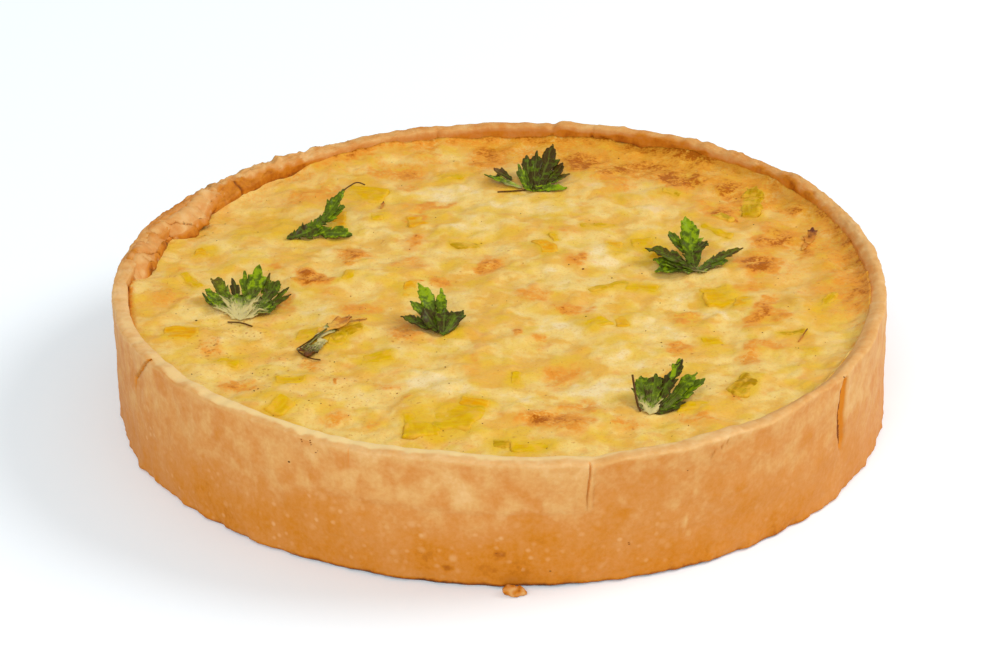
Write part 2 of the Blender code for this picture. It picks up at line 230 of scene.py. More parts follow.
def rim_lift(angle):
    """How far the rim stands above or below its mean height."""
    x, y = around(angle, RIM_RADIUS)
    waves = bumps(x, y, 0.1, RIM_WAVES) + bumps(x, y, 0.2, RIM_RIPPLES)
    return waves + humps(angle, RIM_RISES) - humps(angle, RIM_NICKS)


def crack_at(angle, height):
    """How deep the cracks cut at a place, how far their lips stand out and how their crumb shows, with
    painted shade.
    """
    cut, lip, crumb_and_shade = 0, 0, 0
    for path, width, depth, slant, lips, bright in CRACKS.values():
        if abs(angle - path[0][0]) > 12 or not path[-1][1] * MM - 0.002 <= height <= path[0][1] * MM:
            continue
        angles, heights = zip(*[(turn, up * MM) for turn, up in reversed(path)])
        wander = 0.05 * width * wave(0, angles[0], height / 0.003, 1)
        away = radians(angle - float(np.interp(height, heights, angles)) - wander) * RIM_RADIUS
        taper = smooth_step(heights[0] - 0.0015, heights[0] + 0.005, height)
        taper *= 1 - smooth_step(heights[-1] - 0.002, heights[-1], height)
        half = 0.5 * width * MM * mix(0.3, 1, taper)
        rightwards = min(max(0.5 + 0.5 * away / half, 0), 1)
        edge = 1 - smooth_step(0.8 * half, 1.1 * half, abs(away))
        shaded = slant > 0 and rightwards < CRACK_DARK_SIDE
        cut = max(cut, depth * MM * taper * (1 - slant * rightwards) * edge)
        lip = max(lip, lips * taper * exp(-(((abs(away) - 1.5 * half) / (0.4 * half)) ** 2)))
        crumb_and_shade = max(crumb_and_shade, (bright + shaded) * taper * edge)
    return cut, lip, crumb_and_shade


def case_angles():
    """The mesh's columns, as angles from -180 to 180, closer together at cracks, creases and the ledge."""
    angles = set(np.linspace(-180, 180, PLAIN_COLUMNS + 1))
    angles |= set(np.linspace(PATCH_TO - 1, PATCH_TO + 1, LEDGE_COLUMNS))
    for path, *_ in CRACKS.values():
        low, high = min(point[0] for point in path), max(point[0] for point in path)
        angles |= set(np.linspace(low - CRACK_REACH, high + CRACK_REACH, CRACK_COLUMNS))
    for centre, *_ in INNER_CREASES:
        angles |= set(np.linspace(centre - CREASE_REACH, centre + CREASE_REACH, CREASE_COLUMNS))
    angles = sorted(angles)
    kept = [angles[0]]
    for angle in angles[1:]:
        if angle - kept[-1] > NARROWEST_COLUMN:
            kept.append(angle)
    kept[-1] = 180
    return kept


def case_rows():
    """The mesh's rows, from the floor over the rim and under the foot, as how far across the wall and up it.

    Across is 0 on the outer face and 1 on the inner one. Past 1 it runs on inwards, to 2 at the middle."""
    rows = [(1.4, FLOOR / HEIGHT), (1.035, FLOOR / HEIGHT)]
    rows += [(1, (FLOOR + FLOOR_FILLET) / HEIGHT), (1, MID_SHARE)]
    rows += [(1, share) for share in np.linspace(0.78, CROWN_FOOT, 13)[:-1]]
    for step in range(CROWN_STEPS + 1):
        turn = pi * step / CROWN_STEPS
        rise = max(sin(turn), 0) ** CROWN_FLATNESS
        rows.append(((1 + cos(turn)) / 2, CROWN_FOOT + CROWN / HEIGHT * rise))
    wall_rows = round((CROWN_FOOT - FOOT_CHAMFER) * HEIGHT / WALL_STEP)
    rows += [(0, share) for share in np.linspace(CROWN_FOOT, FOOT_CHAMFER, wall_rows)[1:]]
    return rows + [(0.1, 0.006), (FOOT_CHAMFER_SHARE, 0), (1.0, 0)]


def case_point(angle, across, share):
    """A point of the finished case, with the fine unevenness that the real dough has."""
    outer, inner = outer_radius(angle, share), inner_radius(angle, share)
    cut, lip, _ = crack_at(angle, share * HEIGHT)
    x, y = around(angle, outer)
    z = share * HEIGHT
    crumbly = hump(angle, CREST_ANGLE, CREST_SPREAD) + 0.6 * hump(angle, 35, 35)
    broken = crumbly * smooth_step(0.93, 0.97, share)
    fine = bumps(x, y, z, DIMPLES) + bumps(x, y, z, GRAIN)
    fine += broken * bumps(x, y, z + 0.2 * across, CREST_GRAIN)
    fine += bumps(x, y, z, FOOT_CRUMBLE) * (1 - smooth_step(0.01, 0.1, share)) * smooth_step(0, 0.015, share)
    outer += fine + CRACK_LIP * lip - cut * (1 - smooth_step(0.1, 0.35, across))
    inner += 0.6 * bumps(x, y, z + 0.05, DIMPLES)
    inner += humps(angle, INNER_CREASES) * smooth_step(0.6, FILLING_SHARE, share)
    radius = mix(outer, inner, across) if across <= 1 else inner * (2 - across)
    crumble = bumps(x, y, 0.4, RIM_CRUMBLE) * (0.7 + 0.7 * hump(angle, 135, 35))
    crumble += humps(angle, RIM_FLAKES) * (across < 0.6)
    crumble += broken * bumps(x, y, 0.6 + 0.2 * across, CREST_GRAIN)
    lift = rim_lift(angle) + crumble * smooth_step(0.97, 1, share)
    lift -= FOLD_SLUMP * hump(angle, FOLD_ANGLE, FOLD_SPREAD) * smooth_step(0.4, 1, across)
    lift -= humps(angle, SIDE_SLUMPS) * smooth_step(0.35, 1, across)
    return Vector((*around(angle, radius), z + lift * smooth_step(FILLING_SHARE, 0.96, share)))


def deselect():
    if bpy.context.object and bpy.context.object.mode != "OBJECT":
        bpy.ops.object.mode_set(mode="OBJECT")
    bpy.ops.object.select_all(action="DESELECT")


def points_of(obj):
    places = np.empty(len(obj.data.vertices) * 3, dtype=np.float32)
    obj.data.vertices.foreach_get("co", places)
    return places.reshape(-1, 3).astype(float)


def paint(obj, names, marks):
    """Stores numbers under their names for each point, for the material to read."""
    for name, values in zip(names, zip(*marks)):
        attribute = obj.data.attributes.new(name=name, type="FLOAT", domain="POINT")
        attribute.data.foreach_set("value", np.asarray(values, dtype=np.float32))


def add_sheet(name, columns, rows, point_at, names):
    """A sheet of quads. Given a point's flat place, from -1 to 1 both ways, point_at says where it goes and
    what is painted on it."""
    deselect()
    bpy.ops.mesh.primitive_grid_add(x_subdivisions=columns, y_subdivisions=rows, size=2)
    sheet = bpy.context.object
    sheet.name = sheet.data.name = name
    places, marks = zip(*[point_at(flat_x, flat_y) for flat_x, flat_y, _ in points_of(sheet)])
    sheet.data.vertices.foreach_set("co", np.asarray(places, dtype=np.float32).ravel())
    sheet.data.update()
    paint(sheet, names, marks)
    return sheet


def close_ends():
    """Welds the seam, fills the open ends and faces the surface outwards."""
    bpy.ops.object.mode_set(mode="EDIT")
    bpy.ops.mesh.select_mode(type="VERT")
    bpy.ops.mesh.select_all(action="SELECT")
    bpy.ops.mesh.remove_doubles(threshold=WELD_GAP)
    bpy.ops.mesh.select_all(action="DESELECT")
    bpy.ops.mesh.select_non_manifold(
        extend=False, use_wire=False, use_multi_face=False, use_non_contiguous=False
    )
    bpy.ops.mesh.fill_holes(sides=0)
    bpy.ops.mesh.select_all(action="SELECT")
    bpy.ops.mesh.normals_make_consistent(inside=False)
    bpy.ops.object.mode_set(mode="OBJECT")


def linear(hexa):
    """An sRGB hex colour as linear red, green, blue and alpha."""
    parts = [int(hexa[start:start + 2], 16) / 255 for start in (1, 3, 5)]
    return (*[part / 12.92 if part <= 0.04045 else ((part + 0.055) / 1.055) ** 2.4 for part in parts], 1)


def add_node(tree, kind, inputs, output=0, **settings):
    """Adds a node and gives one of its outputs. An input that is a socket is linked, any other is set."""
    made = tree.nodes.new("ShaderNode" + kind)
    for name, value in settings.items():
        setattr(made, name, value)
    for name, value in inputs.items():
        if isinstance(value, bpy.types.NodeSocket):
            tree.links.new(value, made.inputs[name])
        else:
            made.inputs[name].default_value = value
    return made.outputs[output]


def new_material(name, marks=()):
    """A material, its nodes, the place on the piece and what is painted there."""
    material = bpy.data.materials.new(name)
    material.use_nodes = True
    tree = material.node_tree
    tree.nodes.clear()
    place = add_node(tree, "TexCoord", {}, "Object")
    painted = [add_node(tree, "Attribute", {}, "Fac", attribute_name=mark) for mark in marks]
    return material, tree, place, *painted


def unsettle(tree, level, patterns, times=1, reach=0.2):
    """A level that patterns move up and down, each by its depth where it is a reach from its middle."""
    for pattern, depth in patterns:
        ends = {"From Min": 0.5 - reach, "From Max": 0.5 + reach, "To Min": -depth, "To Max": depth}
        shift = add_node(tree, "MapRange", {"Value": pattern, **ends}, interpolation_type="SMOOTHSTEP")
        level = add_node(tree, "Math", {0: shift, 1: times, 2: level}, operation="MULTIPLY_ADD")
    return level


def lay(tree, colour, layers):
    """Lays colours over a colour, each by a pattern, its two ends, its strength and its own colour."""
    for pattern, start, full, strength, over in layers:
        ends = {"From Min": start, "From Max": full, "To Min": 0, "To Max": strength}
        shown = add_node(tree, "MapRange", {"Value": pattern, **ends}, interpolation_type="SMOOTHSTEP")
        over = linear(over) if isinstance(over, str) else over
        colour = add_node(tree, "Mix", {0: shown, 6: colour, 7: over}, 2, data_type="RGBA")
    return colour


def finish(material, inputs):
    """Ends a material with its shader."""
    tree = material.node_tree
    surface = add_node(tree, "BsdfPrincipled", {"Subsurface Scale": 1, **inputs})
    output = tree.nodes.new("ShaderNodeOutputMaterial")
    tree.links.new(surface, output.inputs["Surface"])
    return material


# Baked shortcrust is a dry crumb of flour and fat: matt, with a faint buttery sheen where the tin pressed
# it smooth. It browns from cream over beige and amber to brown, mottled, with pale flecks of fat.
CRUST_BAKE = (
    (0.0, "#e6bd82"), (0.28, "#d8a25e"), (0.5, "#ce8840"), (0.7, "#c87a16"), (0.86, "#aa5c04"),
    (1.0, "#6c3a0d"),
)


def crust_material():
    material, tree, place, bake_shade_and_sheen, flecks, inside, film = new_material("baked shortcrust", CRUST_MARKS)
    upright = add_node(tree, "Mapping", {"Vector": place, "Scale": (1, 1, 0.14)})
    patches, grain, drags = [
        add_node(tree, "TexNoise", {"Vector": where, "Scale": 1 / size, "Detail": detail, "Roughness": rough})
        for where, size, detail, rough in (
            (place, 0.008, 4, 0.6), (place, 0.0016, 3, 0.6), (upright, 0.0026, 2, 0.5)
        )
    ]
    level = unsettle(tree, bake_shade_and_sheen, ((patches, 0.055), (grain, 0.05), (drags, 0.02)))
    colour = add_node(tree, "ValToRGB", {"Fac": level})
    steps = colour.node.color_ramp.elements
    for position, hexa in CRUST_BAKE[1:-1]:
        steps.new(position).color = linear(hexa)
    steps[0].color, steps[-1].color = linear(CRUST_BAKE[0][1]), linear(CRUST_BAKE[-1][1])
    for size, strength in ((0.0048, 0.35), (0.0029, 0.45)):
        away = add_node(tree, "TexVoronoi", {"Vector": place, "Scale": 1 / size})
        ends = {"From Min": 0.45, "From Max": 0.65, "To Min": 0, "To Max": strength}
        drawn = {"Value": away.node.outputs["Color"], **ends}
        shown = add_node(tree, "MapRange", drawn, interpolation_type="SMOOTHSTEP")
        shown = add_node(tree, "Math", {0: shown, 1: flecks}, operation="MULTIPLY")
        colour = lay(tree, colour, ((away, 0.4, 0.08, shown, "#e6ba80"),))
    spread = unsettle(tree, film, ((patches, 0.3),), reach=0.15)
    # The crumb inside a crack is orange; above 1 the mark is painted shade on a slanting crack's shadowed
    # side
    colour = lay(tree, colour, (
        (spread, 0.2, 0.85, film, "#e9ca8a"),
        (inside, 0, 1, 1, "#da8418"),
        (inside, 1.1, 1.6, 0.9, "#7c3c06"),
    ))
    bump = add_node(tree, "Bump", {"Strength": 0.5, "Distance": 0.0004, "Height": grain})
    return finish(material, {
        "Base Color": colour, "Normal": bump, "Roughness": 0.6, "IOR": 1.45, "Specular IOR Level": 0.18,
        "Subsurface Weight": 0.06, "Subsurface Radius": (0.002, 0.001, 0.0005),
    })


def crust_bake_shade_and_sheen(angle, across, share, place):
    """How brown the crust is at a place, from 0, cream, to 1, brown, with painted shade and painted sheen."""
    x, y, z = place
    level = mix(0.64, 0.44, smooth_step(0.0, 0.95, share))
    level += 0.1 * wave(*place, 0.021) + 0.06 * wave(x, y, z * 0.5, 0.008)
    # Painted sheen: the wall is paler towards its right and left sides, where it turns away, and its dark
    # foot weaker there
    sides = hump(angle, -5, 42) + hump(angle, -172, 28)
    foot = 0.08 * (1 - smooth_step(0.01, 0.06, share)) + 0.2 * (1 - smooth_step(0.005, 0.035, share))
    level += foot * (1 - sides) - 0.1 * sides
    level += 0.3 * hump(angle, -99, 20) * (1 - smooth_step(0.012, 0.04, share))
    level -= 0.12 * patch_share(angle, share) * (0.7 + wave(*place, 0.006))
    crest = smooth_step(0.955, 0.985, share)
    # Painted highlight: near -66 degrees the crest is paler towards its outer edge
    tones = humps(angle, CREST_TONES) - 0.14 * hump(angle, -66, 12) * (1 - min(across, 1))
    tones += 0.12 * wave(*place, 0.0032)
    tones += 0.24 * hump(angle, CREST_ANGLE, CREST_SPREAD) * wave(*place, CREST_GRAIN[1])
    level += crest * tones
    upper = smooth_step(0.4, 0.6, share) * (1 - crest)
    level -= 0.08 * upper * smooth_step(0.05, 0.3, noise.noise(place / 0.0055 + Vector((0, 0, 9))))
    level += 0.08 * upper * smooth_step(0.1, 0.35, noise.noise(place / 0.007 + Vector((0, 0, 3))))
    if across > 0.1:
        front = hump(angle, -95, 75)
        face_angles, starts, depths = zip(*RIM_FACE)
        start, deep = [float(np.interp(angle, face_angles, values)) for values in (starts, depths)]
        below = min(max((CROWN_FOOT - share) / (CROWN_FOOT - FILLING_SHARE), 0), 1) if across >= 1 else 0
        crown_view = mix(CROWN_VIEW_SHARE, FOLD_VIEW_SHARE, hump(angle, FOLD_ANGLE, FOLD_SPREAD))
        down = mix(crown_view * min(across, 1), 1, below) + 0.12 * wave(*place, 0.004)
        # Painted shade: the inner face is darker in its creases and, away from the front, just above the
        # filling
        deep += 0.14 * wave(*place, 0.006) + CREASE_SHADE * humps(angle, INNER_CREASES)
        deep += 0.18 * (1 - smooth_step(FILLING_SHARE, FILLING_SHARE + 0.04, share)) * (1 - front)
        shown = smooth_step(start - RIM_FACE_FADE, start + RIM_FACE_FADE, down) * (1 - 0.8 * front)
        level = mix(level, deep, shown)
    return min(max(level, 0), 1)


def wall_mark(angle, height):
    """How much darker the marks on the wall make it at a place."""
    shade = 0
    for centre, level, half_width, half_height, depth in WALL_MARKS:
        over = radians(angle - centre) * RIM_RADIUS / (half_width * MM)
        up = (height - level * MM) / (half_height * MM)
        if abs(over) < 1.5 and abs(up) < 1.5:
            shade += depth * (1 - smooth_step(0.5, 1.4, hypot(over, up)))
    return shade


def fleck_share(angle, share, place):
    """How many pale flecks show: most on the lower half of the front, in clusters."""
    low = smooth_step(0.02, 0.15, share) * (1 - smooth_step(0.35, 0.75, share))
    low += smooth_step(0.94, 0.97, share)
    cluster = smooth_step(-0.25, 0.4, wave(*place, 0.011))
    ledge = hump(angle, -90, 10) * exp(-(((share * HEIGHT - 0.0245) / 0.002) ** 2))
    fewer = mix(1, 0.35, smooth_step(-76, -62, angle))
    return max((0.4 + 0.6 * low) * (0.35 + 0.65 * cluster) * fewer, ledge)


def film_share(angle, across, share, place):
    """How much custard has run out over the rim: some all along the front, to an uneven edge."""
    if share < 0.9 or across < 0.1:
        return 0
    edge = 0.42 - 0.28 * hump(angle, -142, 24) + 0.3 * wave(*place, 0.007) + 0.15 * wave(*place, 0.0025)
    return smooth_step(edge - 0.28, edge + 0.3, across) * hump(angle, -112, 62)


angles, rows = case_angles(), case_rows()


def crust_point(flat_x, flat_y):
    angle = angles[round((flat_x + 1) / 2 * (len(angles) - 1))]
    across, share = rows[round((1 - (flat_y + 1) / 2) * (len(rows) - 1))]
    place = case_point(angle, across, share)
    bake_shade_and_sheen = crust_bake_shade_and_sheen(angle, across, share, place) + (wall_mark(angle, share * HEIGHT) if across == 0 else 0)
    crumb = crack_at(angle, share * HEIGHT)[2] * (1 - smooth_step(0.1, 0.35, across))
    return place, (bake_shade_and_sheen, fleck_share(angle, share, place), crumb, film_share(angle, across, share, place))


crust = add_sheet("crust_baked", len(angles) - 1, len(rows) - 1, crust_point, CRUST_MARKS)
close_ends()
bpy.ops.object.shade_smooth()
crust.data.materials.append(crust_material())
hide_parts("crust")
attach(crust, "root")


# The folded lip
# At the back left the dough was folded over inwards as the tin was lined. The fold hangs from the crest of
# the rim down to the edge of the filling, in short laps that overlap, with gaps between them darkened by
# painted shade.
LIP_EDGE = (
    (143.5, 124.5), (145.9, 122.8), (148.7, 121.6), (151, 120.6), (153.4, 119.2), (154.6, 117.2),
    (157.4, 117.6), (159.3, 117.4), (160.4, 118.6), (161.1, 120.6), (161.7, 122.6), (162.6, 123.3),
    (164, 123.1), (166.3, 122.5), (168.5, 121.8), (171, 121.7), (174.9, 122.0), (177, 122.8), (178, 124.0),
)
# The laps: where each ends, in degrees, how far it stands above the next and below the crest, in mm, and how
# brown it is
LIP_LAPS = (
    (143.5, 0, 0, 0), (159.8, 0.9, 0.3, 0.3), (163.6, 0.6, 0.2, 0.34), (170.9, 0.8, 0.4, 0.46),
    (178, 0, 0.3, 0.36),
)
LIP_LUMPS = ((0.0011, 0.0052), (0.0006, 0.0021))
LIP_COMES_DOWN = (145, 154.5)
LIP_TUCK = 0.0022
LIP_CREST_DROP = 0.0005
LIP_VALLEY = 0.0010
LIP_COLUMNS = 230
LIP_ROWS = 30
LIP_THICK = 0.0016
LIP_LAP_BOW = 0.0006
LIP_GAP = 0.0011
LIP_ABOVE_FILLING = 0.0008
# How far the lip falls at its crest, at its free edge and at its two ends
LIP_FALLS = (0.0016, 0.0018, 0.0035)
LIP_FLECKS = 0.7


def thicken(sheet, thickness, offset):
    """Gives a sheet its thickness, all below it at an offset of -1 and half to each side at 0."""
    solid = sheet.modifiers.new("Thickness", "SOLIDIFY")
    solid.thickness = thickness
    solid.offset = offset
    bpy.ops.object.modifier_apply(modifier="Thickness")
    bpy.ops.object.shade_smooth()


def lip_point(flat_x, flat_y):
    turned, inwards = (flat_x + 1) / 2, (1 - flat_y) / 2
    angle = mix(LIP_EDGE[0][0], LIP_EDGE[-1][0], turned)
    edge = float(np.interp(angle, *zip(*LIP_EDGE))) * MM
    radius = mix(outline(angle, 1) - LIP_TUCK, edge, inwards)
    skewed = angle + 6 * (inwards - 0.6) + 1.4 * wave(*around(angle, radius), 0.2, 0.004)
    skewed = min(max(skewed, LIP_LAPS[0][0]), LIP_LAPS[-1][0] - 0.01)
    laps = zip(LIP_LAPS, LIP_LAPS[1:])
    (start, *_), (end, proud, low, tone) = next(pair for pair in laps if skewed < pair[1][0])
    along = (skewed - start) / (end - start)
    step = proud * MM * (along - 0.5) * smooth_step(0.25, 0.7, inwards) - low * MM * (1 - along)
    gap = (1 - smooth_step(0, 0.7, skewed - start)) * smooth_step(0.35, 0.75, inwards)
    x, y = around(angle, radius - LIP_LAP_BOW * sin(pi * along) * inwards)
    ends = smooth_step(0, 0.06, turned) * smooth_step(0, 0.12, 1 - turned)
    crest_height = HEIGHT + rim_lift(angle) - LIP_CREST_DROP
    comes_down = smooth_step(*LIP_COMES_DOWN, angle)
    foot_height = mix(crest_height - 0.001, HEIGHT - FILLING_DROP + LIP_ABOVE_FILLING, comes_down)
    valley = exp(-(((inwards - 0.27) / 0.09) ** 2)) * smooth_step(-0.25, 0.25, wave(x, y, 0.5, 0.009))
    z = mix(crest_height, foot_height, smooth_step(0.35, 1, inwards) ** 0.9) + step
    z -= LIP_GAP * gap + LIP_VALLEY * valley + LIP_FALLS[0] * (1 - smooth_step(0, 0.18, inwards))
    z -= LIP_FALLS[1] * smooth_step(0.93, 1, inwards) + LIP_FALLS[2] * (1 - ends)
    z += sum(bumps(x, y, 0.7, form) for form in LIP_LUMPS)
    # Painted shade darkens the gaps between the laps, the valley under the crest and the free edge over the
    # filling; the crest itself is browner
    bake_shade_and_sheen = tone + 0.22 * wave(x, y, z, 0.003) + 0.6 * gap + 0.25 * valley
    bake_shade_and_sheen += 0.5 * smooth_step(0.84, 1, inwards) + 0.24 * (1 - smooth_step(0, 0.4, inwards))
    return (x, y, z), (min(max(bake_shade_and_sheen, 0), 0.95), LIP_FLECKS)


lip = add_sheet("folded_lip", LIP_COLUMNS, LIP_ROWS, lip_point, ("bake_shade_and_sheen", "flecks"))
thicken(lip, LIP_THICK, -1)
lip.data.materials.append(crust.data.materials[0])
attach(lip, "root")


# The custard filling
# The real one is egg, cream and cheese set round chopped leek. Its skin swells over the pieces in it and
# dips between them, and it browns first where it stands highest and along the back of the case.
CUSTARD_SWELLS = (0.0014, 0.034)
CUSTARD_BUMPS = (0.0011, 0.013)
CURDS = (0.0003, 0.0042)
SKIN_GRAIN = (0.00016, 0.0014)
LUMP_SIZE = 0.0088
LUMP_WARP = (0.0034, 0.0085)
LUMP_RISE = 0.0007
KNOBS = (0.0007, 0.0062)
# Where the skin climbs the wall, as angle, spread and size, and over what distance
WALL_CLIMBS = ((36, 30, 0.0012), (-28, 34, 0.0023), (112, 13, 0.0015))
WALL_CLIMB_REACH = 0.0045
# How far the skin stands up all along the wall and round each leek piece, and over what distance
WALL_EDGE = (0.0011, 0.0014)
LEEK_EDGE = (0.0003, 0.0015)
# Where the skin has come away from the wall, as angle, spread, width and depth; painted shade darkens that
# gap
PARTED = (-172, 8.5, 0.0012, 0.0014)
# How brown the filling is along the wall, as angle, spread and strength, and how far that reaches in
EDGE_BROWN = ((62, 45, 0.75), (2, 25, 0.35), (150, 40, 0.2))
EDGE_BROWN_REACH = 0.034
EDGE_GOLD_REACH = 0.04
# Where the skin is toasted in patches close to the wall, as angle, spread, strength and over what distance
WALL_TOASTS = ((88, 22, 0.5, 0.004), (2, 14, 0.5, 0.004), (-34, 16, 0.3, 0.005), (115, 14, 0.6, 0.0032))
SPOT_WARPS = ((0.0032, 0.0080), (0.0018, 0.0028))
SPOT_SQUARE = 0.02
FILLING_CELLS = 300
TOAST_RISE = 0.0004
FILLING_GAP = 0.0002
FLOOR_GAP = 0.0003
FILLING_TAPER = 0.985
CUSTARD_MARKS = ("toast_and_shade", "cream", "gold", "green", "freckles")
# Leek pieces in the skin: place, length and width in mm, turn in degrees, tone, where 0 is gold, 0.5 is
# yellow green and 1 is olive, and how much custard covers them
LEEKS = (
    (-105, -36, 11, 8, 0, 0.15, 0.08), (-50, 75, 15, 12, -20, 0.35, 0.45), (-59, 53, 6, 12, 5, 0.1, 0.2),
    (-45, 55, 5, 6, 0, 0.5, 0.5), (-31, 52, 7, 8, 10, 0, 0.3), (-19, 90, 9, 5, 5, 0.7, 0.6),
    (-14, 31, 11, 5, -5, 0.85, 0.15), (-104, 27, 6, 5, 0, 0.2, 0.5), (-106, 4, 12, 4, -58, 0.6, 0.5),
    (-32, -4, 5, 10, 5, 0.1, 0.2), (-53, 5, 8, 4, 75, 0.6, 0.6), (88.5, 65, 20, 7, 82, 0.8, 0.0),
    (90.5, 76, 12, 7, 78, 0.9, 0.0), (77, 54, 9, 5, -40, 1, 0.4), (-51, -36, 12, 6, 34, 0.85, 0.2),
    (74, 40, 13, 4, -48, 0.45, 0.3), (14, 29, 6, 10, 15, 0, 0.1), (17, 36, 3, 7, 10, 0.4, 0.2),
    (38, 30, 5, 6, 0, 0.2, 0.4), (48, 32, 8, 10, 0, 0.45, 0.65), (52, 22, 5, 10, -20, 0.3, 0.5),
    (60, 73, 7, 4, -20, 0.85, 0.5), (33, 47, 12, 4, 5, 0.75, 0.6), (-67, -69, 9.5, 5, 0, 0.4, 0.05),
    (-88, -55, 8, 5, -20, 0.6, 0.6), (-41, -53, 10, 6, 5, 0.55, 0.4), (-69, -86, 9, 7, 60, 0.4, 0.5),
    (-26, -98, 15, 11, 93, 0.5, 0.2), (-15, -94, 13, 14, -12, 0.45, 0.4), (-10, -86, 9, 5, -25, 0.15, 0.3),
    (-17, -37, 6, 7, 0, 0.4, 0.5), (-64, -37, 7, 6, 0, 0.6, 0.6), (-54, -40, 6, 9, -10, 0.7, 0.4),
    (38, -29, 4.5, 9, 0, 0.2, 0.15), (30, -32, 8, 6, 40, 0.5, 0.1), (71, -11, 10, 13, 10, 0.35, 0.45),
    (78, -16, 5, 8, 0, 0.2, 0.2), (66, -43, 7, 6, 15, 0.5, 0.3), (74, -75, 15, 7, 64, 1.0, 0.1),
    (3, -69, 4, 8, 0, 0.6, 0.3), (8, -112, 12, 5, 3, 0.5, 0.5), (-1, -110, 6, 5, 0, 0.9, 0.4),
    (35, -4, 14, 4, 30, 0.75, 0.5), (46, -4, 11, 6, -5, 0.6, 0.5), (106, -18, 14, 3.5, 64, 0.75, 0.4),
    (57, -90, 9, 5, 0, 0.5, 0.6), (97, -53, 4, 5, 0, 0.6, 0.5), (92, -40, 10, 3, 10, 0.9, 0.7),
)
# Spots in the skin: place, half length and half width in mm, turn in degrees and strength. They are where it
# is toasted, where pale cream shows, where leek glows yellow green through it, and where it has freckles
TOASTS = (
    (-52, 24, 8, 6.5, -30, 0.8), (-66, 6, 7, 4.5, -45, 1.2), (-79, 13, 4, 2.5, -20, 0.5),
    (-38, 95, 10, 7, 0, 0.55), (-33, 82, 6, 4.5, 0, 0.3), (-27, 65, 9.5, 4, 10, 0.5),
    (-31, 53, 6.5, 8, 0, 0.5), (-32, 34, 3.5, 6, 0, 0.65), (-33, 17, 7.5, 6, 0, 0.4),
    (-68, 76, 13, 7, 25, 0.4), (-5, 14, 8, 6, 60, 1.0), (-21, 4, 3.5, 5, 0, 0.7), (28, 103, 7, 9, 10, 0.8),
    (64, 85, 9, 7, -55, 1.1), (81, 75, 4, 9, 0, 0.75), (77, 58, 6, 5, -30, 0.7), (93, 33, 6, 10, -20, 0.75),
    (86, 14, 8, 9, 15, 1.6), (104, 24, 3, 7, -30, 0.6), (26, 18, 6, 7, 0, 0.6), (22, 42, 8, 5, 0, 0.3),
    (27, 65, 4, 5, 0, 0.3), (55, 100, 20, 9, 0, 0.4), (70, 108, 12, 6, -40, 0.6), (100, 56, 3, 5, 0, 0.5),
    (118, 20, 5, 26, 0, 0.15), (115, 45, 5, 13, 20, 0.35), (-5, 108, 7, 10, 0, 0.5),
    (40, 93, 9, 7, 0, 0.45), (42, 80, 5, 7, 0, 0.4), (-32, -36, 7, 11, 20, 0.5), (-48, -19, 7, 5, 0, 0.5),
    (-57, -5, 4, 4, 0, 0.3), (-73, -14, 4, 10, 0, 0.5), (-62, -58, 5, 5, 0, 0.5), (-84, -72, 6, 6, 0, 0.5),
    (-52, -92, 4.5, 7, 0, 0.4), (-41, -97, 4, 6, 0, 0.35), (-95, -45, 5, 10, 0, 0.35),
    (-55, -68, 9, 5, 0, 0.3), (-40, -72, 9, 4, 0, 0.3), (-10, -60, 3.5, 9, 0, 0.3),
    (-11, -95, 3, 4.5, 0, 0.8), (-110, 13, 5, 4, 0, 0.3), (-112, -8, 6, 9, 0, 0.3),
    (21, -20, 6, 6, 30, 1.0), (84, -23, 4.5, 13, -25, 0.85), (91, -28, 5, 5, 0, 0.5),
    (83, -4, 6, 5, 0, 0.5), (60, -27, 8, 7, 0, 0.4), (55, -49, 5, 5, 0, 0.65), (81, -48, 7, 5, 0, 0.55),
    (77, -56, 4.5, 5.5, 0, 0.5), (9, -98, 5.5, 6, 0, 0.9), (17, -98, 8, 6, -10, 0.85),
    (23, -88, 8, 6, 0, 0.4), (17, -66, 6, 9, 0, 0.45), (2, -37, 2.8, 6, 0, 0.8), (12, -43, 5, 5, 0, 0.35),
    (10, -10, 7, 6, 0, 0.45), (58, -96, 8, 5, 0, 0.45), (37, -98, 7, 5, 0, 0.45), (116, -16, 5, 10, 0, 0.4),
    (70, -80, 3.5, 8, 0, 0.4),
)
DARK_SPOTS = (
    (-31.5, -81, 1.3, 1.1, 0, 1.2), (-10.8, -93.5, 1.3, 1.8, 0, 0.9), (1.8, -35.2, 1.2, 1.3, 0, 1.3),
    (-32, 36, 1.2, 1.6, 0, 0.7), (-50, 21, 1.6, 1.2, 0, 0.8), (-28, 5, 1.1, 0.9, 0, 0.9),
    (20.5, -18, 1.6, 1.2, 0, 0.5), (28, 20, 1.2, 3, 20, 0.6), (-54.5, -70.5, 0.8, 2.2, 30, 1.1),
    (86, 11, 2.2, 1.6, 0, 0.6), (9, -97, 2, 2.4, 0, 0.6), (31, 98, 1.5, 3, 20, 0.8),
    (77, 58, 3.5, 0.8, -15, 1.1), (82, 51, 0.9, 2.6, 30, 0.9),
)
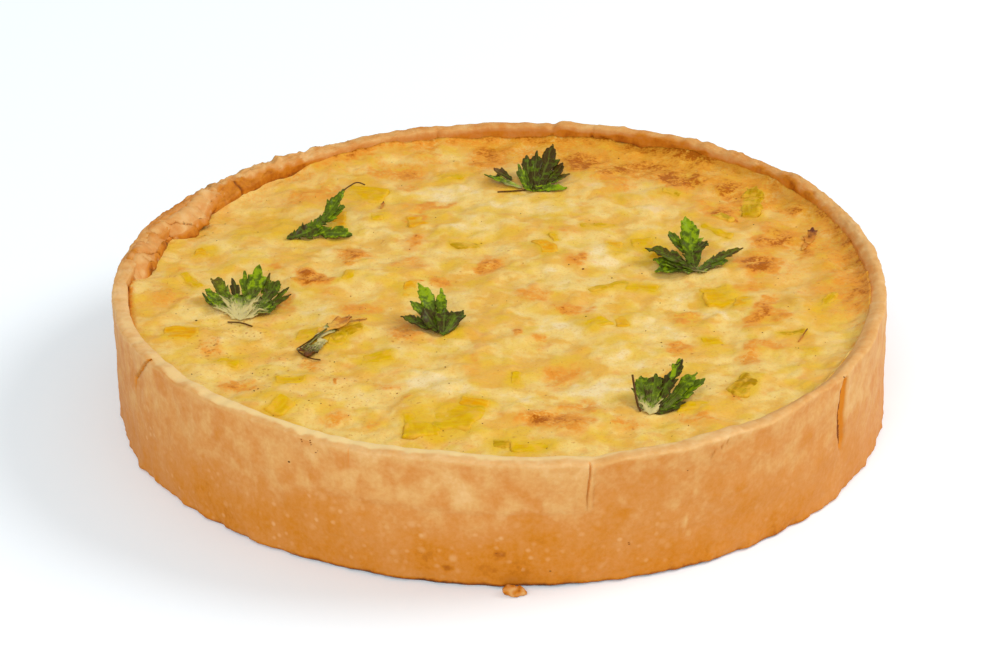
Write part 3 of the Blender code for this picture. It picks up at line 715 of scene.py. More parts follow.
CREAMS = (
    (-20, 74, 15, 9, 0, 0.8), (5, 68, 15, 9, 0, 0.4), (32, 86, 6, 11, 0, 0.55), (35, 20, 7, 12, 0, 1.0),
    (10, 12, 9, 9, 0, 0.5), (55, 62, 5, 9, 0, 0.5), (47, -30, 8, 17, 0, 0.5), (67, -24, 9, 6, -20, 1.1),
    (35, -50, 9, 11, 0, 0.5), (25, -74, 9, 11, 0, 1.0), (3, -82, 7, 6, 0, 0.6), (-25, -72, 14, 10, 0, 0.8),
    (-12, -80, 9, 6, 0, 0.6), (-62, 25, 5, 5, 0, 0.4), (-60, -20, 7, 7, 0, 0.6), (-100, -22, 11, 6, 0, 0.4),
    (-113, 38, 5, 4, 0, 0.8), (-18, 47, 8, 7, 0, 0.5), (-12, 56, 11, 6, 0, 0.5), (-22, -50, 7, 7, 0, 0.4),
    (18, -35, 11, 9, 0, 0.5), (5, -20, 9, 9, 0, 0.4), (22, -5, 8, 7, 0, 0.5), (58, -12, 7, 9, 0, 0.6),
    (45, -65, 6, 11, 0, 0.5), (33, -80, 7, 11, 0, 0.6), (15, 58, 14, 8, 0, 0.5), (-40, 40, 12, 6, 0, 0.3),
)
GREENS = (
    (-80, 55, 9, 14, 20, 0.5), (-90, 45, 7, 9, 0, 0.5), (-66, 38, 6, 5, 0, 0.7), (-20, 17, 5, 4, 0, 0.5),
    (15, 60, 14, 9, 0, 0.35), (-78, 40, 8, 7, 0, 0.6), (-41, -60, 7, 6, 0, 0.45), (38, -13, 5, 4, 0, 0.5),
    (45, 0, 9, 5, 0, 0.5), (48, 33, 8, 9, 0, 0.8), (-14, -104, 14, 5, 0, 0.6), (-54, -42, 6, 7, 0, 0.5),
    (100, -28, 9, 11, 0, 0.35), (86, 62, 5, 13, 10, 0.5), (8, -111, 12, 5, 0, 0.5), (30, -45, 8, 7, 0, 0.3),
    (-20, 40, 16, 5, 0, 0.35), (73, -12, 9, 9, 0, 0.5), (-66, -12, 5, 5, 0, 0.4),
)
FRECKLED = (
    (-62, -72, 34, 20, -30, 0.8), (-95, -42, 7, 15, 0, 0.7), (-52, 24, 9, 8, -30, 1.0),
    (-32, -38, 10, 13, 0, 0.8), (55, -50, 8, 8, 0, 0.8), (70, -80, 6, 10, 0, 0.7),
    (-8, -105, 28, 8, 0, 0.6), (60, 100, 32, 15, -30, 0.7), (85, 65, 15, 26, 20, 0.6),
    (113, 15, 12, 42, 0, 0.6), (-47, 34, 9, 6, 0, 0.5), (30, -103, 15, 7, 0, 0.6), (-22, 4, 6, 8, 0, 0.6),
    (-112, -5, 8, 20, 0, 0.5), (-78, -38, 26, 22, -30, 0.6),
)


def custard(x, y):
    """Height of the custard's skin."""
    return HEIGHT - FILLING_DROP + bumps(x, y, 0, CUSTARD_SWELLS) + bumps(x, y, 0.4, CUSTARD_BUMPS)


def square_of(x, y):
    return floor(x / SPOT_SQUARE), floor(y / SPOT_SQUARE)


def by_square(spots):
    """The spots that reach into each square of the filling."""
    squares = {}
    for spot in spots:
        reach = 1.5 * max(spot[2], spot[3]) * MM
        left, bottom = square_of(spot[0] * MM - reach, spot[1] * MM - reach)
        right, top = square_of(spot[0] * MM + reach, spot[1] * MM + reach)
        for column in range(left, right + 1):
            for row in range(bottom, top + 1):
                squares.setdefault((column, row), []).append(spot)
    return squares


def spot_share(x, y, squares):
    """How strongly the spots mark a place."""
    total = 0
    for east, north, length, width, turned, strength in squares.get(square_of(x, y), ()):
        turn = radians(turned)
        along = ((x - east * MM) * cos(turn) + (y - north * MM) * sin(turn)) / (length * MM)
        over = ((y - north * MM) * cos(turn) - (x - east * MM) * sin(turn)) / (width * MM)
        total += strength * (1 - smooth_step(0.15, 1.45, hypot(along, over)))
    return total


def leek_gap(x, y, leek):
    """Distance from a place to a leek piece, 0 on it."""
    turn = radians(leek[4])
    east, north = x - leek[0] * MM, y - leek[1] * MM
    along = abs(east * cos(turn) + north * sin(turn)) - leek[2] * MM / 2
    over = abs(north * cos(turn) - east * sin(turn)) - leek[3] * MM / 2
    return hypot(max(along, 0), max(over, 0))


def lump(x, y):
    """The piece under the skin at a place, as (how far inside it, 0 to 1, and two random shares)."""
    shifted = Vector((x + bumps(x, y, 5.1, LUMP_WARP), y + bumps(x, y, 8.3, LUMP_WARP), 0))
    distances, centres = noise.voronoi(shifted / LUMP_SIZE)
    inside = smooth_step(0, 0.6, distances[1] - distances[0])
    draws = [noise.cell(centres[0] * 91.7 + Vector((step * 13.1, 0, 0))) for step in range(2)]
    return inside, [0.5 + 0.5 * draw for draw in draws]


def custard_place(x, y, from_wall):
    """Height and colour marks of the skin at a place."""
    angle = degrees(atan2(y, x))
    curd = wave(x, y, 0, CURDS[1])
    inside, (stands, warmth) = lump(x, y)
    rise = max(stands - 0.35, 0) / 0.65
    proud = max(stands - 0.5, 0)
    height = custard(x, y) + CURDS[0] * curd + bumps(x, y, 0.1, SKIN_GRAIN) + bumps(x, y, 2.6, KNOBS)
    height += LUMP_RISE * (rise * inside - 0.25) + WALL_EDGE[0] * exp(-from_wall / WALL_EDGE[1])
    height += humps(angle, WALL_CLIMBS) * exp(-from_wall / WALL_CLIMB_REACH)
    meniscus = 0
    for leek, reach in near_leeks:
        if abs(x - leek[0] * MM) < reach and abs(y - leek[1] * MM) < reach:
            meniscus = max(meniscus, exp(-leek_gap(x, y, leek) / LEEK_EDGE[1]))
    spot_x = x + sum(bumps(x, y, 3.3, form) for form in SPOT_WARPS)
    spot_y = y + sum(bumps(x, y, 7.7, form) for form in SPOT_WARPS)
    soft, fine = [wave(x, y, 1.7, size) for size in (0.013, 0.0055)]
    toast_and_shade = 1.2 * min(spot_share(spot_x, spot_y, toast_squares), 1.5)
    toast_and_shade *= 0.85 + 0.3 * curd + 0.25 * rise * inside
    patchy = 0.75 + 0.6 * wave(x, y, 0.3, 0.012) + 0.3 * rise * inside
    edge_brown = humps(angle, EDGE_BROWN)
    toast_and_shade += edge_brown * exp(-((from_wall / EDGE_BROWN_REACH) ** 2)) * patchy
    lace = max(0.5 + 1.3 * wave(x, y, 6.1, 0.0034), 0)
    for centre, spread, strength, reach in WALL_TOASTS:
        toast_and_shade += lace * strength * hump(angle, centre, spread) * exp(-((from_wall / reach) ** 2))
    centre, spread, width, depth = PARTED
    parted = hump(angle, centre, spread) * exp(-((from_wall / width) ** 2))
    # Painted shade darkens the gap where the skin has parted from the wall, added in with the toasting
    toast_and_shade += 1.1 * parted + 0.12 * inside * warmth * proud + 0.08 * fine
    height += LEEK_EDGE[0] * meniscus + TOAST_RISE * min(toast_and_shade, 1) - depth * parted
    cream = spot_share(spot_x, spot_y, cream_squares)
    cream += 0.35 * soft + 0.4 * fine + 0.25 * (warmth - 0.5) * inside
    gold = max(wave(x, y, 5.2, 0.0065), 0) + 0.35 * proud * inside
    gold += 0.9 * edge_brown * exp(-((from_wall / EDGE_GOLD_REACH) ** 2))
    green = spot_share(spot_x, spot_y, green_squares) + 0.7 * meniscus
    green += 0.9 * max(wave(x, y, 2.9, 0.0075) - 0.12, 0)
    freckles = 0.1 + spot_share(spot_x, spot_y, freckle_squares) + 0.3 * soft
    return height, toast_and_shade, cream, gold, green, freckles


def filling_point(flat_x, flat_y):
    x, y = flat_x * sqrt(1 - flat_y * flat_y / 2), flat_y * sqrt(1 - flat_x * flat_x / 2)
    wall = inner_radius(degrees(atan2(y, x)), FILLING_SHARE) + FILLING_GAP
    height, *marks = custard_place(x * wall, y * wall, (1 - hypot(x, y)) * wall)
    return (x * wall, y * wall, height), [min(max(mark, 0), 1.6) for mark in marks]


near_leeks = [(leek, max(leek[2], leek[3]) * MM / 2 + 0.005) for leek in LEEKS]
toast_squares, cream_squares = by_square(TOASTS + DARK_SPOTS), by_square(CREAMS)
green_squares, freckle_squares = by_square(GREENS), by_square(FRECKLED)
filling = add_sheet("filling_baked", FILLING_CELLS, FILLING_CELLS, filling_point, CUSTARD_MARKS)
bpy.ops.object.mode_set(mode="EDIT")
bpy.ops.mesh.select_mode(type="EDGE")
bpy.ops.mesh.select_all(action="SELECT")
bpy.ops.mesh.region_to_loop()
bpy.ops.mesh.extrude_edges_move()
bpy.ops.object.mode_set(mode="OBJECT")
for vert in filling.data.vertices:
    if vert.select:
        vert.co.z = FLOOR + FLOOR_GAP
        vert.co.x *= FILLING_TAPER
        vert.co.y *= FILLING_TAPER
bpy.ops.object.mode_set(mode="EDIT")
bpy.ops.mesh.edge_face_add()
bpy.ops.mesh.select_all(action="SELECT")
bpy.ops.mesh.normals_make_consistent(inside=False)
bpy.ops.object.mode_set(mode="OBJECT")
bpy.ops.object.shade_smooth()


# Baked custard is a soft, slightly glossy gel with a dry toasted skin: light goes a little way into it.
# Cream and cheese show as pale patches, egg as gold, and leek under the skin as yellow green.
def custard_material():
    material, tree, place, *marks = new_material("baked egg custard", CUSTARD_MARKS)
    toast_and_shade, cream, gold, green, freckled = marks
    pits, grain, mottle, orange, yellow, broad = [
        add_node(tree, "TexNoise", {"Vector": place, "Scale": 1 / size, "Detail": detail, "Roughness": 0.6})
        for size, detail in (
            (0.0009, 2), (0.0022, 3), (0.0052, 1.5), (0.0073, 1.5), (0.0088, 1.5), (0.0145, 2)
        )
    ]
    pale = unsettle(tree, cream, ((broad, 0.35), (mottle, 0.28), (grain, 0.1)))
    heat = unsettle(tree, toast_and_shade, ((pits, 0.36), (grain, 0.38), (mottle, 0.3), (orange, 0.25)), toast_and_shade)
    warm = lay(tree, linear("#de9230"), ((gold, 0.3, 0.9, 1, "#da982a"),))
    colour = lay(tree, linear("#e0ac48"), (
        (broad, 0.36, 0.62, 1, "#e5be68"),
        (gold, 0.1, 0.6, 0.4, "#d99a2a"),
        (orange, 0.52, 0.7, 0.5, "#db9242"),
        (pale, -0.15, 0.45, 1, "#e8c671"),
        (pale, 0.4, 1.2, 1, "#ead197"),
        (yellow, 0.5, 0.66, 0.55, "#deb52c"),
        (green, 0.05, 0.9, 0.8, "#dcb01c"),
        (heat, 0.04, 0.62, 1, warm),
        (heat, 0.56, 1.6, 1, "#ac5c00"),
        (pits, 0.5, 0.3, 0.3, "#cf8e2c"),
    ))
    spots = add_node(tree, "TexNoise", {"Vector": place, "Scale": 1 / 0.0013, "Detail": 1})
    edge = add_node(tree, "Math", {0: freckled, 1: -0.11, 2: 0.73}, operation="MULTIPLY_ADD")
    edge_high = add_node(tree, "Math", {0: edge, 1: 0.09}, operation="ADD")
    ends = {"From Min": edge, "From Max": edge_high, "To Min": 0, "To Max": 0.6}
    freckles = add_node(tree, "MapRange", {"Value": spots, **ends})
    colour = add_node(tree, "Mix", {0: freckles, 6: colour, 7: linear("#b06a20")}, 2, data_type="RGBA")
    bump = add_node(tree, "Bump", {"Strength": 0.5, "Distance": 0.0006, "Height": grain})
    bump = add_node(tree, "Bump", {"Strength": 0.35, "Distance": 0.0003, "Height": pits, "Normal": bump})
    return finish(material, {
        "Base Color": colour, "Normal": bump, "Roughness": 0.42, "IOR": 1.4, "Specular IOR Level": 0.13,
        "Subsurface Weight": 0.12, "Subsurface Radius": (0.003, 0.0018, 0.0008),
    })


filling.data.materials.append(custard_material())
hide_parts("filling")
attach(filling, "root")


# The leek pieces
# Sliced leek, softened in butter and stirred into the filling. It floats half sunk in the skin, ribbed
# along its fibres, translucent and yellow, with custard set over its edges.
LEEK_PROUD = 0.0003
LEEK_FOLLOWS_SKIN = 0.65
LEEK_TILT = 4
LEEK_SPREAD = 1.15
LEEK_RIB = 0.0011
LEEK_RIB_LENGTH = 0.009
LEEK_COLUMNS = 26
LEEK_ROWS = 18
LEEK_THICK = 0.0016
LEEK_BOW = 0.0006
LEEK_TAPER = 0.12
LEEK_RAGGED = (0.0007, 0.0035)
LEEK_BUMPS = (0.0004, 0.004)
# Over what width the edge dives, how deep, and over what width custard hides it
LEEK_RIM = 0.0011
LEEK_DIVE = 0.0010
LEEK_FRINGE = (0.0004, 0.0030)
LEEK_MARKS = ("cover", "fibre", "length", "tone")


def surface_of(objects):
    """The joined surface of some objects, to be looked down on."""
    points, faces = [], []
    for obj in objects:
        first = len(points)
        points += [vert.co.copy() for vert in obj.data.vertices]
        faces += [[first + corner for corner in polygon.vertices] for polygon in obj.data.polygons]
    return BVHTree.FromPolygons(points, faces)


def height_on(surface, x, y):
    """Height of a surface at a place."""
    hit = surface.ray_cast(Vector((x, y, 1)), Vector((0, 0, -1)))[0]
    return hit.z if hit else HEIGHT - FILLING_DROP


def add_leek(name, east, north, length, width, turned, tone, cover):
    """One piece that lies in the skin, a little tilted and bowed, with ragged edges that dive under it."""
    turn = radians(turned)
    tilt_along, tilt_over = draw.uniform(-1, 1), draw.uniform(-1, 1)
    bow = draw.uniform(-LEEK_BOW, LEEK_BOW)
    seed = draw.uniform(0, 50)
    long_side, short_side = LEEK_SPREAD * length * MM / 2, LEEK_SPREAD * width * MM / 2
    middle = custard(east * MM, north * MM)

    def leek_point(flat_x, flat_y):
        along = flat_x * (1 - LEEK_TAPER * flat_y * flat_y) * long_side
        over = flat_y * (1 - LEEK_TAPER * flat_x * flat_x) * short_side
        ragged = bumps(along, over, seed, LEEK_RAGGED)
        along += ragged * flat_x * 2 + bow * flat_y
        over += ragged * flat_y * 2 + bow * (1 - flat_x * flat_x)
        inset = min(1 - abs(flat_x), (1 - abs(flat_y)) * short_side / long_side) * long_side
        rim = 1 - smooth_step(0, LEEK_RIM, inset)
        fringe = 1 - smooth_step(*LEEK_FRINGE, inset)
        x = east * MM + along * cos(turn) - over * sin(turn)
        y = north * MM + along * sin(turn) + over * cos(turn)
        ground = height_on(bare_skin, x, y)
        tilt = radians(LEEK_TILT) * (tilt_along * along + tilt_over * over)
        z = mix(middle, ground, LEEK_FOLLOWS_SKIN) + LEEK_PROUD + tilt - LEEK_DIVE * rim * rim
        z += bumps(x, y, seed, LEEK_BUMPS)
        sunk = 1 - smooth_step(-0.0001, 0.0004, z - ground)
        film = cover * max(wave(x, y, seed, 0.0035) + 0.15, 0) * 1.6
        return (x, y, z), (min(max(0.85 * sunk, 0.7 * fringe) + film, 1), over, along + seed, tone)

    piece = add_sheet(name, LEEK_COLUMNS, LEEK_ROWS, leek_point, LEEK_MARKS)
    thicken(piece, LEEK_THICK, -1)
    return piece


def join(pieces, name):
    """Makes one object of several, named, at the origin."""
    deselect()
    for piece in pieces:
        piece.select_set(True)
    bpy.context.view_layer.objects.active = pieces[0]
    bpy.ops.object.join()
    pieces[0].name = pieces[0].data.name = name
    return pieces[0]


# Cooked leek is wet, translucent plant tissue: a low gloss, light glowing through it, pale ribs of fibre
# and, towards its edges, the custard that has set over it.
def leek_material():
    material, tree, place, cover, fibre, length, tone = new_material("cooked leek", LEEK_MARKS)
    cloud = add_node(tree, "TexNoise", {"Vector": place, "Scale": 1 / 0.0026, "Detail": 3, "Roughness": 0.6})
    lie = add_node(tree, "CombineXYZ", {"X": fibre, "Y": length})
    lie = add_node(tree, "Mapping", {"Vector": lie, "Scale": (1 / LEEK_RIB, 1 / LEEK_RIB_LENGTH, 1)})
    ribs = add_node(tree, "TexNoise", {"Vector": lie, "Scale": 1, "Detail": 1})
    veil = unsettle(tree, cover, ((cloud, 0.4),))
    colour = lay(tree, linear("#dc9200"), (
        (tone, 0, 0.5, 1, "#d4a600"),
        (tone, 0.55, 1, 1, "#a67c00"),
        (ribs, 0.4, 0.65, 0.35, "#e2c22c"),
        (cloud, 0.42, 0.7, 0.5, "#c98a00"),
        (veil, 0.25, 1.1, 0.85, "#e0ae38"),
    ))
    bump = add_node(tree, "Bump", {"Strength": 0.4, "Distance": 0.0005, "Height": cloud})
    return finish(material, {
        "Base Color": colour, "Normal": bump, "Roughness": 0.33, "IOR": 1.4, "Specular IOR Level": 0.04,
        "Subsurface Weight": 0.25, "Subsurface Radius": (0.002, 0.0016, 0.0004),
    })


bare_skin = surface_of((filling,))
draw = random.Random(5)
leeks = join([add_leek(f"leek_{index}", *leek) for index, leek in enumerate(LEEKS)], "leek_pieces")
leeks.data.materials.append(leek_material())
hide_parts("filling")
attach(leeks, "root")


# The parsley leaves
# Fresh flat parsley was laid on before baking. Each leaf has wilted on to the custard at its root, its
# toothed lobes have curled up and dried, and custard has set over the middle of some of them.
LEAF_THICK = 0.00035
LEAF_LIE = 0.0003
LEAF_LIFT_CURVE = 1.5
LEAF_FULLNESS = 1.35
LEAF_FOLD = 0.3
LEAF_RUFFLE = 0.22
LEAF_WANDER = 0.12
TOOTH_SWEEP = 0.8
TOOTH_CUT = 0.34
SMALL_TOOTH_CUT = 0.16
LEAF_ACROSS = 8
ROWS_PER_TOOTH = 12
LEAF_MARKS = ("tone", "coat", "brown", "across", "along")
STALK_MARKS = (1, 0.1, 0.55, 0.5, 0.5)
# Each leaf: its root's place in mm, then its blades as (start, end, width, teeth, tone at the start, tone at
# the end, custard coat, brown tip, bend, roll). A start or an end is east, north and lift in mm from the
# root. A tone is 0 for bright green, 0.5 for dark green and 1 for dark brown; the bright green at raised tips
# is partly a painted glow of light through the leaf. A bend is in mm, a roll in degrees.
LEAVES = (
    ((-87, -24), (
        ((2.5, 8.4, 1.5), (5.3, 21.2, 10.0), 5.6, 1, 0.75, 0.05, 0.3, 0, 0, 0),
        ((1.2, 10.0, 1.6), (0.2, 20.8, 8.0), 2.8, 1, 0.6, 0.2, 0.2, 0, 0, 0),
        ((-1.9, 10.6, 1.2), (-3.8, 17.1, 6.5), 2.8, 1, 0.9, 1, 0, 0, 0.5, 0),
        ((1.2, 10.0, 1.2), (1.8, 18.7, 5.5), 3.4, 1, 0.9, 0.95, 0, 0, 0, 0),
        ((-3.1, 6.6, 1.0), (-10.4, 14.3, 7.0), 4.6, 3, 0.5, 0.5, 0.1, 0.7, 1.5, 15),
        ((-3.4, 3.5, 0.8), (-12.0, 11.7, 3.5), 3.8, 4, 0.4, 0.35, 0.7, 0, 0, 0),
        ((-3.9, 1.1, 0.5), (-13.3, 12.9, 1.8), 1.5, 1, 0.5, 0.6, 0.8, 0, -1, 0),
        ((6.1, 13.7, 2.5), (8.9, 18.4, 8.0), 2.2, 1, 0.5, 0.4, 0, 0.7, 0, 0),
        ((4.8, 6.9, 1.3), (12.1, 14.9, 6.5), 5.8, 3, 0.6, 0.6, 0.5, 0, 0, 0),
        ((6.8, 6.4, 1.0), (15.4, 13.7, 5.0), 2.0, 2, 0.55, 0.5, 0.5, 0.3, 0, 0),
        ((7.0, 4.4, 1.0), (16.1, 11.9, 3.5), 2.2, 2, 0.7, 0.8, 0.5, 0.3, 0, 0),
        ((3.4, 0.1, 0.6), (11.2, 6.0, 2.0), 5.5, 2, 0.5, 0.6, 0.75, 0, 0, 0),
        ((5.4, 1.1, 0.8), (9.4, 9.0, 2.6), 3.5, 2, 0.6, 0.5, 0.8, 0, 0, 0),
        ((-0.5, -1.5, 0.4), (-9.0, 7.5, 1.6), 6.5, 3, 0.5, 0.5, 1.8, 0, 0.6, 0),
        ((1.0, -1.5, 0.4), (10.0, 7.5, 1.8), 6.5, 3, 0.5, 0.5, 1.8, 0, -0.6, 0),
        ((0.3, -2.2, 0.5), (-0.6, 12.1, 2.2), 10.5, 3, 0.5, 0.5, 2.0, 0, 0, 0),
    )),
    ((-75.5, 40), (
        ((-0.4, -4.1, 0.6), (12.6, 5.4, 4.2), 5.2, 4, 0.8, 0.5, 0.15, 0, 0.8, -25),
        ((9.3, 2.3, 3.2), (19.1, 16.8, 9.5), 4.2, 3, 0.55, 0.45, 0, 0, 0, -20),
        ((9.0, 4.0, 2.6), (19.4, 11.2, 6.0), 4.0, 3, 0.55, 0.45, 0.2, 0, 0, -25),
        ((8.0, 3.0, 1.6), (22.3, -2.0, 1.4), 5.6, 2, 0.5, 0.45, 0.1, 0, 1.2, -22),
        ((3.0, -1.5, 0.7), (14.5, 1.5, 2.6), 3.4, 3, 0.6, 0.3, 0.4, 0, 0, -15),
    )),
    ((-20, -38), (
        ((-1.2, 4.8, 1.2), (-8.3, 18.3, 10.0), 5.4, 2, 0.85, 0.02, 0, 0, 0.6, 0),
        ((-0.3, 4.8, 1.2), (-0.9, 16.9, 9.5), 3.6, 2, 0.8, 0.05, 0, 0, -0.3, 0),
        ((-2.5, 5.5, 1.0), (-10.9, 12.6, 6.6), 3.6, 2, 0.6, 0.4, 0, 0, 0, 0),
        ((-1.8, 2.9, 0.8), (-13.9, 6.9, 3.3), 4.5, 3, 0.85, 0.9, 0.1, 0.2, 0, 0),
        ((-0.5, -0.8, 0.5), (-6.4, 9.1, 5.0), 5.2, 2, 0.75, 0.95, 0.1, 0, 0, 0),
        ((-0.1, -1.6, 0.5), (6.3, 7.6, 4.5), 5.2, 1, 0.75, 0.7, 0.35, 0, 0, 0),
        ((-0.1, -2.3, 0.5), (0.7, 10.0, 4.5), 5.6, 1, 0.8, 0.85, 0.1, 0, 0, 0),
    )),
    ((10, 79), (
        ((-0.7, -0.1, 0.8), (-1.6, 14.5, 7.0), 4.2, 2, 0.6, 0.8, 0.1, 0, 0, 0),
        ((0.4, -1.0, 0.8), (2.1, 15.8, 8.0), 4.4, 2, 0.8, 0.95, 0, 0, 0, 0),
        ((1.5, -1.1, 0.8), (7.8, 16.9, 9.5), 7.0, 4, 0.9, 1.05, 0, 0.25, 0, 0),
        ((2.2, -1.1, 0.8), (11.5, 11.2, 5.5), 5.4, 3, 0.85, 1.05, 0, 0.3, 0, 0),
        ((-0.7, -0.6, 0.6), (14.0, 8.0, 2.5), 4.0, 3, 0.4, 0.6, 0, 0.8, 0, 0),
        ((-2.8, 1.1, 0.5), (12.7, -1.3, 1.0), 3.6, 3, 0.25, 0.3, 0.15, 0, 0.8, -20),
        ((-1.8, -0.1, 0.8), (-4.9, 9.0, 5.0), 2.7, 1, 0.4, 0.5, 0, 0, 0, 0),
        ((-7.2, 4.3, 1.2), (-13.7, 7.6, 4.5), 3.4, 1, 0.9, 1, 0, 0.9, 0.8, 20),
        ((-3.6, 1.1, 0.4), (-17.2, 6.4, 2.5), 3.6, 2, 0.35, 0.4, 0.75, 0, 0, 0),
    )),
    ((65, 6), (
        ((-1.0, 2.8, 1.2), (-2.7, 22.7, 10.5), 7.2, 3, 0.85, 0.0, 0.05, 0, 0.5, 0),
        ((-2.8, 9.8, 3.2), (-8.7, 18.2, 7.5), 3.6, 2, 0.6, 0.5, 0, 0, 0, 0),
        ((-0.6, 9.1, 3.2), (4.1, 14.5, 5.5), 3.6, 2, 0.8, 0.7, 0, 0, 0, 0),
        ((-0.1, 1.4, 0.8), (-17.0, 13.3, 4.6), 5.6, 3, 0.75, 0.75, 0.3, 0.35, 1.4, 0),
        ((-0.5, 1.2, 0.6), (-14.6, 8.2, 2.6), 5.4, 3, 0.65, 0.45, 0.35, 0, 0.8, 10),
        ((-1.9, 0.7, 0.5), (-14.2, 2.8, 1.2), 5.8, 3, 0.6, 0.3, 0.3, 0, 1.0, 0),
        ((-1.0, 1.0, 0.6), (-11.0, 8.0, 2.6), 4.5, 2, 0.7, 0.5, 0.1, 0, 0, 0),
        ((0.5, 1.2, 0.6), (16.2, 11.8, 4.0), 4.0, 4, 0.7, 0.7, 0.3, 0.6, -1.6, 0),
        ((0.0, 0.4, 0.4), (10.5, 5.6, 1.8), 4.2, 2, 0.65, 0.6, 0.5, 0, -0.8, 0),
        ((3.2, 0.0, 0.3), (-5.6, 6.0, 1.5), 4.8, 1, 0.7, 0.7, 0.7, 0, 0, 0),
    )),
    ((45, -91), (
        ((-2.7, 0.2, 0.5), (-3.4, 12.6, 6.0), 6.2, 3, 0.4, 0.45, 0.6, 0, 0.5, 0),
        ((-1.2, 0.5, 0.5), (1.2, 12.3, 7.5), 5.2, 3, 0.5, 0.7, 0.5, 0, 0, 0),
        ((0.3, 0.5, 0.5), (9.2, 14.7, 10.0), 5.6, 3, 0.9, 0.9, 0, 0, -0.8, 10),
        ((5.5, 9.0, 6.0), (8.6, 15.2, 10.2), 2.8, 1, 0.3, 0.1, 0, 0, 0, 0),
        ((1.8, 0.5, 0.5), (13.9, 12.0, 6.5), 4.8, 2, 0.6, 0.4, 0.35, 0, 0, 0),
        ((2.4, 0.4, 0.5), (16.1, 10.1, 5.0), 4.4, 3, 0.5, 0.35, 0, 0, 0, 0),
        ((0.2, -1.5, 0.3), (9.8, 1.8, 1.0), 2.2, 1, 0.8, 0.8, 0.1, 0, 0, 0),
        ((-1.4, -2.6, 0.3), (-0.3, 6.8, 1.6), 7.0, 2, 0.5, 0.5, 1.8, 0, 0, 0),
    )),
)
# Stalks as (leaf, points from its root in mm with their lifts, half thickness in mm)
STALKS = (
    (0, ((-3.7, -2.9, 0.4), (0.6, -3.6, 0.6), (4.6, -6.5, 0.3)), 0.25),
    (1, ((18.6, 16.2, 9.2), (21.0, 19.6, 10.2), (23.4, 21.9, 10.4), (26.0, 22.9, 9.5)), 0.25),
    (3, ((-1.5, 0.6, 0.6), (-6.5, -1.4, 0.5), (-10.6, -2.6, 0.4), (-12.3, -4.1, 0.3)), 0.28),
    (5, ((-4.2, -0.5, 0.4), (-4.9, 3.0, 1.4), (-5.6, 7.6, 3.9), (-6.1, 11.4, 6.5)), 0.35),
)

skin = surface_of((filling, leeks))


def skin_height(x, y):
    """Height of the finished filling at a place."""
    return height_on(skin, x, y)


def blade_half_width(share, teeth):
    """Half of a blade's width, as a share of its full width, at a share of its length."""
    body = min(0.5 + 0.9 * share, 1) * min((1 - share) / 0.34, 1) ** 0.7
    tooth, small_tooth = (share * teeth + 0.25) % 1, (3 * share * teeth + 0.75) % 1
    return 0.5 * body * mix(1 - TOOTH_CUT, 1, tooth) * mix(1 - SMALL_TOOTH_CUT, 1, small_tooth)


def add_blade(root, blade, seed):
    """One toothed lobe, folded along its rib, ruffled at its edges and resting on or above the filling."""
    start, end, width, teeth, tone_start, tone_end, coat, brown, bend, roll = blade
    first, last = [Vector((root[0] + east, root[1] + north, 0)) * MM for east, north, _ in (start, end)]
    ahead = (last - first).normalized()
    aside = Vector((ahead.y, -ahead.x, 0))

    def blade_point(flat_x, flat_y):
        share = (flat_y + 1) / 2
        half = width * LEAF_FULLNESS * MM * blade_half_width(share, teeth)
        over = flat_x * half + LEAF_WANDER * width * MM * wave(share * 4, seed, flat_x, 1)
        spine = first.lerp(last, share) + aside * bend * MM * sin(pi * share)
        swept = spine + ahead * TOOTH_SWEEP * abs(flat_x) * half * (1 - share)
        point = swept + aside * over * cos(radians(roll))
        lift = mix(start[2], end[2], share**LEAF_LIFT_CURVE) * MM
        fold = LEAF_FOLD * abs(over) + sin(radians(roll)) * over
        ruffle = LEAF_RUFFLE * width * MM * flat_x * flat_x * wave(share * 2.4 * teeth, seed + 7, flat_x, 1)
        base = skin_height(spine.x, spine.y) + lift + fold + ruffle
        point.z = max(base, skin_height(point.x, point.y) + LEAF_LIE)
        tone = mix(tone_start, tone_end, share)
        return point, (tone, coat * (1 - share) ** 1.2, brown * share**3, flat_x, share * teeth)

    sheet = add_sheet("blade", LEAF_ACROSS, (teeth + 1) * ROWS_PER_TOOTH, blade_point, LEAF_MARKS)
    thicken(sheet, LEAF_THICK, 0)
    return sheet


def add_stalk(root, points, half_thickness):
    """A thin round stalk through points given from a leaf's root."""
    places = []
    for east, north, lift in points:
        x, y = (root[0] + east) * MM, (root[1] + north) * MM
        places.append((x, y, skin_height(x, y) + lift * MM))
    curve = bpy.data.curves.new("stalk", "CURVE")
    curve.dimensions = "3D"
    curve.bevel_depth = half_thickness * MM
    curve.bevel_resolution = 2
    curve.use_fill_caps = True
    spline = curve.splines.new("BEZIER")
    spline.bezier_points.add(len(places) - 1)
    for point, place in zip(spline.bezier_points, places):
        point.co = place
        point.handle_left_type = point.handle_right_type = "AUTO"
    stalk = bpy.data.objects.new("stalk", curve)
    bpy.context.scene.collection.objects.link(stalk)
    deselect()
    stalk.select_set(True)
    bpy.context.view_layer.objects.active = stalk
    bpy.ops.object.convert(target="MESH")
    stalk = bpy.context.object
    paint(stalk, LEAF_MARKS, [STALK_MARKS] * len(stalk.data.vertices))
    bpy.ops.object.shade_smooth()
    return stalk


